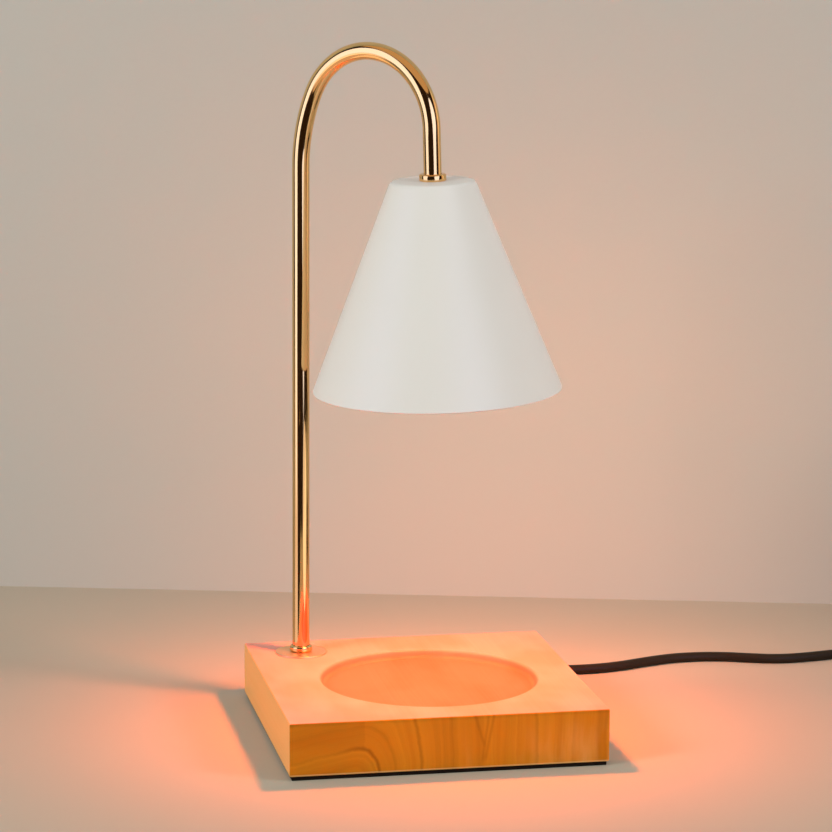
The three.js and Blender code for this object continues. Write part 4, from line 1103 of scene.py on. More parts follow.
def cord_mesh(name: str, points: Sequence[Vector], sides: int) -> Mesh:
    """A round cord along a line, with a map of its length in metres and of its girth.

    Args:
        name: the mesh's name.
        points: the line.
        sides: its sides.

    Returns:
        The mesh.
    """
    ahead = [step.normalized() for step in steps_of(points)]
    tangents = [ahead[0], *((a + b).normalized() for a, b in zip(ahead, ahead[1:], strict=False)), ahead[-1]]
    side = tangents[0].cross(UPRIGHT).normalized()
    vertices: list[Vector] = []
    for point, tangent in zip(points, tangents, strict=True):
        side = (side - tangent * side.dot(tangent)).normalized()
        other = tangent.cross(side)
        turns = (2 * math.pi * i / sides for i in range(sides))
        vertices += [point + (side * math.cos(a) + other * math.sin(a)) * (CORD_DIAMETER / 2) for a in turns]
    marks = distances(points)
    last = len(points) - 1
    faces, spots = [], []
    for k in range(last):
        for i in range(sides):
            j = (i + 1) % sides
            faces.append((k * sides + i, k * sides + j, (k + 1) * sides + j, (k + 1) * sides + i))
            v, w = i / sides, (i + 1) / sides
            spots += [(marks[k], v), (marks[k], w), (marks[k + 1], w), (marks[k + 1], v)]
    for k in (0, last):
        faces.append(range(k * sides, (k + 1) * sides))
        spots += [(marks[k], i / sides) for i in range(sides)]
    mesh = raw(name, vertices, [], faces)
    layer = mesh.uv_layers.new(name="along")
    for loop, spot in zip(layer.data, spots, strict=True):
        loop.uv = spot
    return smoothed(outward(mesh), 50)


# ---------------------------------------------------------------- pieces


@dataclass
class Assembly:
    """A sub-assembly, which keeps the pieces that it has placed."""

    def __post_init__(self) -> None:
        """Starts with no piece."""
        self.pieces: dict[str, Object] = {}

    def place(
        self,
        mesh: Mesh,
        finishes: Finish | Sequence[Finish],
        nodes: Sequence[str] = (),
        where: Matrix | None = None,
        body: Body = Body.LAMP,
    ) -> None:
        """Puts a piece in its place, dresses it and lets it ride.

        Args:
            mesh: the piece's mesh, whose name is the piece's.
            finishes: its finish, or the finishes of its material slots.
            nodes: the solids that it stands for.
            where: the placing of its mesh, if it isn't made in place.
            body: the body that it rides on.
        """
        worn = [finishes] if isinstance(finishes, Finish) else list(finishes)
        mesh.materials.clear()
        obj = held(moved(mesh, where or Matrix()), *(finish.material() for finish in worn))
        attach(obj, body.value)
        if nodes:
            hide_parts(*nodes)
        self.pieces[obj.name] = obj
        log.info("%s: %s, %d faces, rides on %s", type(self).__name__, obj.name, len(mesh.polygons), body.value)


@dataclass
class WoodenBase(Assembly):
    """The block with its dish and its hollows, and the pad under it."""

    half: float = 0.075
    edge: float = 0.0006
    dish_radius: float = 0.0533
    dish_depth: float = 0.004
    rim_round: float = 0.0016
    floor_round: float = 0.003
    pad_half: float = 0.074
    pad_edge: float = 0.0004
    hollow_bottom: float = 0.001
    nut_radius: float = 0.013
    nut_top: float = 0.019
    wires_size: Point = (0.064, 0.0414, 0.004)
    wires_place: Flat = (POLE_X + 0.022, 0.0453)
    wires_top: float = 0.015
    cord_radius: float = 0.0045
    cord_depth: float = 0.01
    bore_top: float = 0.03

    def build(self) -> None:
        """Builds and places both pieces."""
        self.place(self.block(), WOOD, ["wood_base"])
        half = self.pad_half
        pad = boxed("foam_pad", (-half, -half, 0.0), (half, half, WOOD_BOTTOM), self.pad_edge, 2)
        self.place(pad, FOAM, ["base_pad"])

    def block(self) -> Mesh:
        """The block, with the dish, the pockets and the bores cut.

        Returns:
            The mesh.
        """
        floor, wall = WOOD_TOP - self.dish_depth, self.dish_radius - self.rim_round
        profile = [
            (0.0, floor),
            *arc(wall - self.floor_round, floor + self.floor_round, self.floor_round, -90, -28, 8),
            *arc(self.dish_radius, WOOD_TOP - self.rim_round, self.rim_round, 166, 90, 8),
            (self.dish_radius, WOOD_TOP + OVERRUN),
            (0.0, WOOD_TOP + OVERRUN),
        ]
        wires = extruded("wires", rounded(*self.wires_size, 6), self.hollow_bottom, self.wires_top)
        tools = [
            moved(turned("dish", profile, 192), at(DISH_X, DISH_Y)),
            rod(self.nut_radius, self.hollow_bottom, self.nut_top, 48, POLE_FOOT),
            moved(wires, at(*self.wires_place)),
            rod(TUBE_RADIUS + GAP, self.wires_top, self.bore_top, 48, POLE_FOOT),
            rod(self.cord_radius, -OVERRUN, self.cord_depth, 48, towards(EXIT, 0, 1, 0)),
        ]
        low, high = (-self.half, -self.half, WOOD_BOTTOM), (self.half, self.half, WOOD_TOP)
        return cut(boxed("wood_block", low, high, self.edge), *tools)


@dataclass
class BentTube(Assembly):
    """The bent tube with the rosette and the collar at its foot."""

    bottom: float = 0.0125
    upright: float = 0.2409
    wall: float = 0.001
    shoulder_radius: float = 0.0867
    shoulder_angle: float = 24.2
    crook_lean: float = 1.8
    leg: float = 0.0236
    leg_radius: float = 0.08
    end_drop: float = 0.0095
    sides: int = 56
    rosette_radius: float = 0.0127
    rosette_thickness: float = 0.0008
    rosette_edge: float = 0.0004
    collar_radius: float = 0.0056
    collar_height: float = 0.0032
    collar_round: float = 0.0011
    hole: float = TUBE_RADIUS + SNUG

    def line(self) -> list[Vector]:
        """The tube's middle.

        Returns:
            Its points, from the bottom to the end inside the shade.
        """
        inward = Vector((DISH_X - POLE_X, DISH_Y - POLE_Y, 0.0))
        span = inward.length
        inward.normalize()

        def heading(degrees: float) -> Vector:
            """The direction that leans inwards from the upright by an angle."""
            lean = math.radians(degrees)
            return inward * math.sin(lean) + UPRIGHT * math.cos(lean)

        crook_end = 180 - self.crook_lean
        lean = math.radians(self.shoulder_angle)
        reach = span - self.shoulder_radius * (1 - math.cos(lean))
        reach -= self.leg * math.sin(math.radians(self.crook_lean))
        crook_radius = reach / (math.cos(lean) - math.cos(math.radians(crook_end)))
        here = Vector((POLE_X, POLE_Y, WOOD_TOP + self.upright))
        points = [Vector((POLE_X, POLE_Y, self.bottom)), here.copy()]
        direction = heading(0)
        bends = [
            (heading(self.shoulder_angle), self.shoulder_radius, 24),
            (heading(crook_end), crook_radius, 96),
            (-HEAD_UP, self.leg_radius, 4),
        ]
        for aim, radius, steps in bends:
            axis = direction.cross(aim).normalized()
            centre = here + axis.cross(direction) * radius
            arm = here - centre
            for i in range(1, steps + 1):
                points.append(centre + Matrix.Rotation(direction.angle(aim) * i / steps, 3, axis) @ arm)
            here, direction = points[-1], aim
        return [*points, HEAD - HEAD_UP * self.end_drop]

    def tube(self) -> Mesh:
        """The tube, whose skin follows its middle and then gets its wall.

        Returns:
            The mesh.
        """
        points = self.line()
        seed = raw("bent_tube", points, [(i, i + 1) for i in range(len(points) - 1)], [])
        growth = Growth("skin_along_line", Radius=TUBE_RADIUS, Sides=self.sides, Material=GOLD.material())
        line = growth.node("GeometryNodeMeshToCurve", {"Mesh": growth.entry})
        obj = held(growth.grown(growth.swept(line, growth.size("Sides"), growth.size("Radius")), seed))
        wall = obj.modifiers.new("wall", "SOLIDIFY")
        wall.thickness, wall.offset, wall.use_rim = self.wall, -1.0, True
        return smoothed(freed(obj))

    def build(self) -> None:
        """Builds and places the three pieces."""
        self.place(self.tube(), GOLD, ["neck_tube"])
        edge, top = self.rosette_edge, WOOD_TOP + self.rosette_thickness
        rosette = [
            (self.hole, WOOD_TOP),
            (self.rosette_radius, WOOD_TOP),
            *arc(self.rosette_radius - edge, top - edge, edge, 0, 90, 5),
            (self.hole, top),
        ]
        self.place(turned("rosette", rosette, 128), SATIN_GOLD, ["pole_rosette"], POLE_FOOT)
        inner, soft = self.collar_radius - self.collar_round, self.collar_round
        collar = [
            (self.hole, top),
            *arc(inner, top + soft, soft, -90, 0, 6),
            *arc(inner, top + self.collar_height - soft, soft, 0, 90, 6),
            (self.hole, top + self.collar_height),
        ]
        self.place(turned("collar", collar), GOLD, ["pole_collar"], POLE_FOOT)


@dataclass
class Shade(Assembly):
    """The cone shade and the ring on it."""

    top_radius: float = 0.01983
    bottom_radius: float = 0.0592
    height: float = 0.09925
    wall: float = 0.001
    corner: float = 0.0024
    hem: float = 0.0004
    ring_radius: float = 0.0064
    ring_height: float = 0.003
    ring_round: float = 0.0009
    ring_edge: float = 0.0003

    def build(self) -> None:
        """Builds and places both pieces."""
        self.place(self.cone(), [SHADE_PAINT, SHADE_LINING], ["shade"], HEAD_PLACE)
        hole, top, soft = TUBE_RADIUS + SNUG, GAP + self.ring_height, self.ring_round
        ring = [
            (hole, 0.0),
            (self.ring_radius - self.ring_edge, 0.0),
            (self.ring_radius, self.ring_edge),
            *arc(self.ring_radius - soft, top - soft, soft, 0, 90, 6),
            (hole, top),
        ]
        self.place(turned("top_ring", ring), GOLD, ["shade_ring"], HEAD_PLACE)

    def cone(self) -> Mesh:
        """The shade, whose inside has the second material.

        Returns:
            The mesh.
        """
        slope = (self.bottom_radius - self.top_radius) / self.height
        lean = math.degrees(math.atan(slope))
        across = self.wall / math.cos(math.radians(lean))
        corner_x = self.top_radius - self.corner * math.tan(math.radians((90 - lean) / 2))
        inner_top = self.top_radius + slope * self.wall - across
        inner_hem = self.bottom_radius - across
        hem_z = -self.height + self.hem
        hole = TUBE_RADIUS + GAP
        profile = [
            (hole, -self.wall),
            (inner_top - self.hem, -self.wall),
            (inner_top + slope * self.hem, -self.wall - self.hem),
            (inner_hem - slope * self.hem, hem_z),
            *arc(inner_hem + across / 2 - slope * self.hem, hem_z, across / 2, 180, 360, 8)[1:],
            *arc(corner_x, -self.corner, self.corner, lean, 90, 10),
            (hole, 0.0),
        ]
        mesh = turned("cone_shade", profile, 192)
        for face in mesh.polygons:
            skin = self.top_radius - slope * face.center.z - across / 2
            if face.center.to_2d().length < skin and face.center.z < -self.wall / 2:
                face.material_index = 1
        return mesh


@dataclass
class LampHead(Assembly):
    """The ceramic holder and the bulb in it, in heights below the shade's top."""

    holder_radius: float = 0.0145
    holder_top: float = -0.0136
    holder_bottom: float = -0.0336
    holder_edge: float = 0.001
    waist: Flat = (0.0091, 0.0105)
    waist_depth: float = 0.0006
    slot_turn: float = 25
    slot_half: float = 0.0016
    slot_depth: float = 0.0033
    cavity_half: float = 0.0031
    cavity_top: float = 0.0073
    pin_spread: float = 0.005
    screw_spread: float = 0.011
    screw_hole: float = 0.0016
    screw_depth: float = 0.0084
    lead_hole: float = 0.0026
    lead_depth: float = 0.005
    bulb_top: float = -0.0341
    bulb_bottom: float = -0.0836
    rim_radius: float = 0.0252
    rim_height: float = 0.006
    rim_edge: float = 0.0006
    ledge: float = 0.0025
    neck_radius: float = 0.0084
    neck_length: float = 0.013
    glass_wall: float = 0.0012
    dome: float = 0.0006
    capsule_drop: float = 0.0083
    capsule_radius: float = 0.0043
    capsule_length: float = 0.022
    capsule_bore: float = 0.0046
    pin_reach: float = 0.004
    pin_radius: float = 0.0013
    pin_head: float = 0.0025
    pin_head_height: float = 0.0018
    facets: int = 24

    def build(self) -> None:
        """Builds and places the holder, the reflector, the glasses, the wire and the pins."""
        self.place(self.holder(), CERAMIC, ["lamp_holder"], HEAD_PLACE)
        for mesh, finish, nodes in (
            (self.reflector(), MIRROR, ["bulb_reflector"]),
            (self.front_glass(), CLEAR_GLASS, ["bulb_front_glass"]),
            (self.capsule(), CLEAR_GLASS, ["bulb_capsule"]),
            (self.wire(), HOT_WIRE, []),
            (self.pin(-self.pin_spread, 1), STEEL, ["bulb_pin_1"]),
            (self.pin(self.pin_spread, 2), STEEL, ["bulb_pin_2"]),
        ):
            self.place(mesh, finish, nodes, HEAD_PLACE, Body.BULB)

    def slot(self, half: float, side: float, low: float, high: float) -> Mesh:
        """An arc-shaped slot with round ends.

        Args:
            half: half its width.
            side: the angle where its arc ends.
            low, high: its heights.

        Returns:
            The mesh.
        """
        start, r = side - self.slot_turn, self.pin_spread
        tip, root = (arc(0, 0, r, a, a + 1, 1)[0] for a in (side, start))
        outline = [
            *arc(0, 0, r + half, start, side, 8),
            *arc(*tip, half, side, side + 180, 10)[1:-1],
            *arc(0, 0, r - half, side, start, 8),
            *arc(*root, half, start + 180, start + 360, 10)[1:-1],
        ]
        return extruded("slot", outline, low, high)

    def holder(self) -> Mesh:
        """The holder, with its slots and bores cut.

        Returns:
            The mesh.
        """
        r, edge, low, high = self.holder_radius, self.holder_edge, self.holder_bottom, self.holder_top
        groove = [(r - self.waist_depth, low + z) for z in self.waist]
        body = [
            (0, low),
            *arc(r - edge, low + edge, edge, -90, 0, 5),
            (r, groove[0][1] - self.waist_depth),
            *groove,
            (r, groove[1][1] + self.waist_depth),
            *arc(r - edge, high - edge, edge, 0, 90, 5),
            (0, high),
        ]
        tools = []
        for side in (0, 180):
            start = math.radians(side - self.slot_turn)
            where = at(self.pin_spread * math.cos(start), self.pin_spread * math.sin(start))
            tools += [
                self.slot(self.slot_half, side, low - OVERRUN, low + self.slot_depth),
                self.slot(self.cavity_half, side, low + self.slot_depth - GAP, low + self.cavity_top),
                rod(self.cavity_half, low - OVERRUN, low + self.slot_depth, 32, where),
            ]
        screws = (at(x, 0) for x in (-self.screw_spread, self.screw_spread))
        tools += [rod(self.screw_hole, high - self.screw_depth, high + OVERRUN, 32, screw) for screw in screws]
        tools.append(rod(self.lead_hole, high - self.lead_depth, high + OVERRUN, 32))
        return cut(turned("ceramic_holder", body), *tools)

    def flare(self, narrow: float, wide: float, low: float, high: float, steps: int) -> list[Flat]:
        """The curve of a reflector from its wide low end to its narrow high end."""
        shares = (i / steps for i in range(steps + 1))
        return [(narrow + (wide - narrow) * math.sqrt(1 - s), low + (high - low) * s) for s in shares]

    def reflector(self) -> Mesh:
        """The reflector: smooth outside, and flat facets inside.

        Returns:
            The mesh.
        """
        top, rim, neck, edge = self.bulb_top, self.rim_radius, self.neck_radius, self.rim_edge
        shoulder = top - self.neck_length - 0.003
        rim_top = self.bulb_bottom + self.rim_height
        ledge = self.bulb_bottom + self.ledge
        inner_rim, inner_top = rim - self.glass_wall, shoulder - self.glass_wall
        mouth = inner_rim - self.glass_wall
        bore, end = self.capsule_bore, top - self.capsule_drop + GAP
        outside = [
            (0, top),
            (neck - edge, top),
            (neck, top - edge),
            (neck, top - self.neck_length),
            *reversed(self.flare(0.0112, rim, rim_top, shoulder, 16)),
            *arc(rim - edge, self.bulb_bottom + edge, edge, 0, -90, 4),
            (inner_rim, self.bulb_bottom),
            (inner_rim, ledge),
            (mouth, ledge),
        ]
        inside = self.flare(neck - self.glass_wall, mouth, ledge, inner_top, 10)[1:]
        steps = self.facets * 4
        rings: list[list[Point]] = []
        for k, (r, z) in enumerate([*outside, *inside, (bore, inner_top), (bore, end), (0, end)]):
            faceted = len(outside) <= k < len(outside) + len(inside)
            ring: list[Point] = []
            for i in range(steps):
                angle = 2 * math.pi * i / steps
                offset = (i % 4 - 2) * 2 * math.pi / steps
                flat = math.cos(math.pi / self.facets) / math.cos(offset) if faceted else 1.0
                ring.append((r * flat * math.cos(angle), r * flat * math.sin(angle), z))
            rings.append(ring if r > 0 else [(0.0, 0.0, z)])
        return smoothed(stacked("faceted_reflector", rings), 9)

    def front_glass(self) -> Mesh:
        """The domed glass in the reflector's mouth.

        Returns:
            The mesh.
        """
        high = self.bulb_bottom + self.ledge - GAP
        low = high - self.glass_wall
        radius = self.rim_radius - self.glass_wall - GAP
        angles = (math.radians(turn) for turn in range(0, 91, 9))
        dome = [(radius * math.sin(a), low - self.dome * math.cos(a)) for a in angles]
        return turned("front_glass", [*dome, (radius, high), (0, high)])

    def capsule(self) -> Mesh:
        """The halogen capsule with its pinched tip.

        Returns:
            The mesh.
        """
        high, r = self.bulb_top - self.capsule_drop, self.capsule_radius
        low = high - self.capsule_length
        profile = [
            (0, low - 0.0009),
            (0.0006, low - 0.0006),
            (0.0009, low),
            *arc(0, low + r, r, -68, 0, 10),
            (r, high - 0.004),
            (r - 0.0004, high - 0.0024),
            (r, high - 0.001),
            (r, high),
            (0, high),
        ]
        return turned("halogen_capsule", profile, 48)

    def wire(self) -> Mesh:
        """The coiled wire on its stem, which stands in the capsule.

        Returns:
            The mesh.
        """
        radius, low, high = 0.0011, self.bulb_top - 0.0255, self.bulb_top - 0.0088
        sizes = {"Turns": 9.0, "Radius": radius, "Height": 0.0075, "Thickness": 0.00022}
        growth = Growth("coiled_wire", **sizes, Material=HOT_WIRE.material())
        given = {"Resolution": 20, "Rotations": growth.size("Turns"), "Height": growth.size("Height")}
        given |= {f"{end} Radius": growth.size("Radius") for end in ("Start", "End")}
        coil = growth.swept(growth.node("GeometryNodeCurveSpiral", given), 6, growth.size("Thickness"), caps=True)
        mesh = growth.grown(coil, bpy.data.meshes.new("hot_wire"))
        return joined("hot_wire", [moved(mesh, at(0, 0, low)), rod(0.0002, low, high, 8, at(-radius, 0))])

    def pin(self, x: float, number: int) -> Mesh:
        """One headed pin.

        Args:
            x: its place across.
            number: its number.

        Returns:
            The mesh.
        """
        low, head = self.bulb_top - self.pin_reach, self.holder_bottom + self.slot_depth
        top, shank, wide = head + self.pin_head_height, self.pin_radius, self.pin_head
        profile = [
            (0, low),
            (shank, low),
            (shank, head),
            (0.0022, head),
            *arc(wide - 0.0004, head + 0.0004, 0.0004, -90, 0, 3),
            *arc(wide - 0.0006, top - 0.0006, 0.0006, 0, 90, 4),
            (0, top),
        ]
        return moved(turned(f"headed_pin_{number}", profile, 40), at(x, 0))


@dataclass(frozen=True)
class Sleeve:
    """A tapered strain relief with ribs, which points along +Z."""

    root: float = 0.0044
    tip: float = 0.0031
    length: float = 0.020
    ribs: int = 6
    rib: float = 0.0005
    soft: float = 0.0005

    def mesh(self, name: str, lower: Sequence[Flat]) -> Mesh:
        """The sleeve.

        Args:
            name: the mesh's name.
            lower: the part below its taper, from the axis to the root.

        Returns:
            Its mesh.
        """
        end = arc(self.tip - self.soft, self.length - self.soft, self.soft, 0, 90, 4)
        body = turned(name, [*lower, *end, (0, self.length)], 64)
        start = lower[-1][1]
        span = self.length - start
        first, pitch = start + span * 0.16, span * 0.72 / (self.ribs - 1)
        slope = (self.root - self.tip) / span
        growth = Growth(
            f"{name}_ribs",
            Count=self.ribs,
            Start=first,
            Pitch=pitch,
            Radius=self.root - slope * (first - start) - self.rib * 0.35,
            Shrink=slope * pitch / self.root,
            Thickness=self.rib,
            Material=RUBBER.material(),
        )
        rib = growth.swept(growth.circle(56, growth.size("Radius")), 12, growth.size("Thickness"))
        row = growth.row(growth.vector(z=growth.size("Start")), growth.vector(z=growth.size("Pitch")))
        narrower = 1 - growth.node("GeometryNodeInputIndex") * growth.size("Shrink")
        ribs = growth.spread(row, rib, growth.vector(narrower, narrower, 1.0))
        return joined(name, [body, growth.grown(ribs, bpy.data.meshes.new(f"{name}_rings"))])


@dataclass
class CordEntry(Assembly):
    """The grommet in the block's back."""

    wall: float = 0.009
    sleeve: Sleeve = Sleeve(root=0.0046, tip=0.0032, length=0.031, ribs=7, rib=0.00055)

    def build(self) -> None:
        """Builds and places the grommet."""
        lower = [
            (0, -0.0015),
            (0.0042, -0.0015),
            (0.0056, -0.0003),
            (0.0042, -0.0003),
            (0.0042, self.wall),
            (0.0065, self.wall),
            *arc(0.0065 - 0.0006, self.wall + 0.0014, 0.0006, 0, 90, 4),
            (0.0046, self.wall + 0.002),
        ]
        self.place(self.sleeve.mesh("ribbed_grommet", lower), RUBBER, ["cord_grommet"], towards(EXIT, 0, 1, 0))


@dataclass
class Dimmer(Assembly):
    """The rotary dimmer on the cord: two shells, the dial with its mark, and two sleeves."""

    x: float = 0.288
    y: float = 0.009
    width: float = 0.032
    length: float = 0.062
    corner: float = 0.009
    wall: float = 0.0018
    split: float = 0.008
    seam: float = 0.0003
    top: float = 0.017
    lower_round: float = 0.0016
    upper_round: float = 0.0024
    bush: float = 0.0039
    dial_radius: float = 0.011
    dial_bottom: float = 0.0175
    dial_top: float = 0.0231
    dial_round: float = 0.0009
    flutes: int = 16
    flute_depth: float = 0.0005
    neck_room: float = 0.0035
    well_radius: float = 0.003
    well_depth: float = 0.0015
    wells: tuple[Flat, ...] = ((0.0095, -0.022), (-0.0095, 0.022))
    dots: int = 9
    dot_circle: float = 0.0134
    dot_radius: float = 0.00042
    dot_growth: float = 0.11
    groove_half: float = 0.0006
    groove_depth: float = 0.0006

    def build(self) -> None:
        """Builds and places all pieces."""
        here = at(self.x, self.y)
        self.place(self.lower(), PLASTIC, ["dimmer_lower_shell"], here)
        self.place(self.upper(), PLASTIC, ["dimmer_upper_shell"], here)
        self.place(self.ticks(), INLAY, [], here)
        self.place(self.dial(), PLASTIC, ["dimmer_dial"], here, Body.DIAL)
        self.place(self.mark(), INLAY, [], here, Body.DIAL)
        neck = [
            (0, -0.0035),
            (0.0044, -0.0035),
            (0.0046, -0.0033),
            (0.0046, -0.0021),
            (0.0032, -0.0021),
            (0.0032, GAP),
            (0.0044, GAP),
        ]
        for number, side in ((1, 1), (2, -1)):
            where = towards((self.x, self.y + side * self.length / 2, self.split), 0, side, 0)
            sleeve = Sleeve().mesh(f"dimmer_cord_sleeve_{number}", neck)
            self.place(sleeve, RUBBER, [f"dimmer_sleeve_{number}"], where)

    def shell(self, name: str, skin: Sequence[Flat], closed_end: float, *holes: Mesh) -> Mesh:
        """A shell with room for the sleeves' necks at both ends.

        Args:
            name: the mesh's name.
            skin: the outer skin's insets and heights, from its closed end up to its rim's edge.
            closed_end: the height of the inside of the closed end.
            holes: what else is cut out.

        Returns:
            The mesh.
        """
        rings = []
        for inset, z in [*skin, (self.seam, self.split), (self.wall, self.split), (self.wall, closed_end)]:
            outline = rounded(self.width - 2 * inset, self.length - 2 * inset, self.corner - inset, 10)
            rings.append([(x, y, z) for x, y in outline])
        ends = (towards((0, side * self.length / 2, self.split), 0, side, 0) for side in (1, -1))
        return cut(stacked(name, rings), *holes, *(rod(self.neck_room, -0.0025, 0.001, 40, end) for end in ends))

    def lower(self) -> Mesh:
        """The lower shell, with its screw wells.

        Returns:
            The mesh.
        """
        soft = self.lower_round
        skin = [*((soft - dx, dz) for dx, dz in arc(0, soft, soft, -90, 0, 6)), (0, self.split - self.seam)]
        wells = (rod(self.well_radius, -OVERRUN, self.well_depth, 40, at(*place)) for place in self.wells)
        return self.shell("dimmer_lower_case", skin, self.wall, *wells)

    def upper(self) -> Mesh:
        """The upper shell, with the bush's hole.

        Returns:
            The mesh.
        """
        soft = self.upper_round
        curve = [(soft - dx, self.top - soft + dz) for dx, dz in arc(0, 0, soft, 90, 0, 8)]
        hole = rod(self.bush, 0.014, 0.019, 48)
        return self.shell("dimmer_upper_case", [*curve, (0, self.split + self.seam)], self.top - self.wall, hole)

    def ticks(self) -> Mesh:
        """The raised dots round the dial, which grow along its turn.

        Returns:
            The mesh.
        """
        sizes = {"Count": self.dots, "Radius": self.dot_circle, "Dot": self.dot_radius, "Grow": self.dot_growth}
        sizes["Height"] = self.top
        growth = Growth("dots_round_dial", **sizes, Material=INLAY.material())
        given = {"Resolution": growth.size("Count"), "Radius": growth.size("Radius")}
        given |= {"Start Angle": math.radians(90), "Sweep Angle": math.radians(270)}
        line = growth.node("GeometryNodeCurveArc", given, mode="RADIUS")
        dot = growth.node("GeometryNodeMeshUVSphere", {"Segments": 16, "Rings": 8, "Radius": growth.size("Dot")})
        size = 1 + growth.node("GeometryNodeInputIndex") * growth.size("Grow")
        row = growth.spread(line, dot, growth.vector(size, size, 0.6))
        lift = growth.vector(z=growth.size("Height"))
        row = growth.node("GeometryNodeTransform", {"Geometry": row, "Translation": lift})
        return growth.grown(row, bpy.data.meshes.new("dial_dots"))

    def fluted(self, radius: float, z: float, flute: float) -> list[Point]:
        """A ring with flutes.

        Args:
            radius: its radius.
            z: its height.
            flute: its flutes' depth.

        Returns:
            Its points.
        """
        made = []
        for i in range(self.flutes * 12):
            angle = 2 * math.pi * i / (self.flutes * 12)
            r = radius - flute * ((1 - math.cos(self.flutes * angle)) / 2) ** 1.5
            made.append((r * math.cos(angle), r * math.sin(angle), z))
        return made

    def dial(self) -> Mesh:
        """The fluted dial, hollow underneath, with the groove of its mark cut.

        Returns:
            The mesh.
        """
        r, low, high = self.dial_radius, self.dial_bottom, self.dial_top
        deep, soft = self.flute_depth, self.dial_round
        bends = [(math.cos(angle), math.sin(angle)) for angle in (math.radians(15 * i) for i in range(1, 7))]
        profile = [
            (r - 0.0003, low, deep),
            (r, low + 0.0003, deep),
            (r - 0.0002, high - soft, deep),
            *((r - 0.0002 - soft * (1 - c), high - soft * (1 - s), deep * c) for c, s in bends),
            (r - 0.0035, high - 0.0001, 0.0),
            (r - 0.0055, high - 0.00035, 0.0),
        ]
        rings = [[(0.0, 0.0, low)], *(self.fluted(*spot) for spot in profile), [(0.0, 0.0, high - 0.0004)]]
        bush = [(0, 0.016), (self.bush, 0.016), (self.bush, 0.0185), (0.0023, 0.0185), (0.0023, 0.0215), (0, 0.0215)]
        half = self.groove_half
        groove = boxed("groove", (-half, 0.004, high - self.groove_depth), (half, r + OVERRUN, high + OVERRUN))
        return cut(stacked("fluted_dial", rings), turned("bush_room", bush, 48), groove)

    def mark(self) -> Mesh:
        """The inlay in the dial's groove.

        Returns:
            The mesh.
        """
        half, bottom = 0.00058, self.dial_top - self.groove_depth
        high = (half, self.dial_radius - self.dial_round, self.dial_top - 0.0002)
        return boxed("dial_mark", (-half, 0.0042, bottom), high, 0.0001, 2)


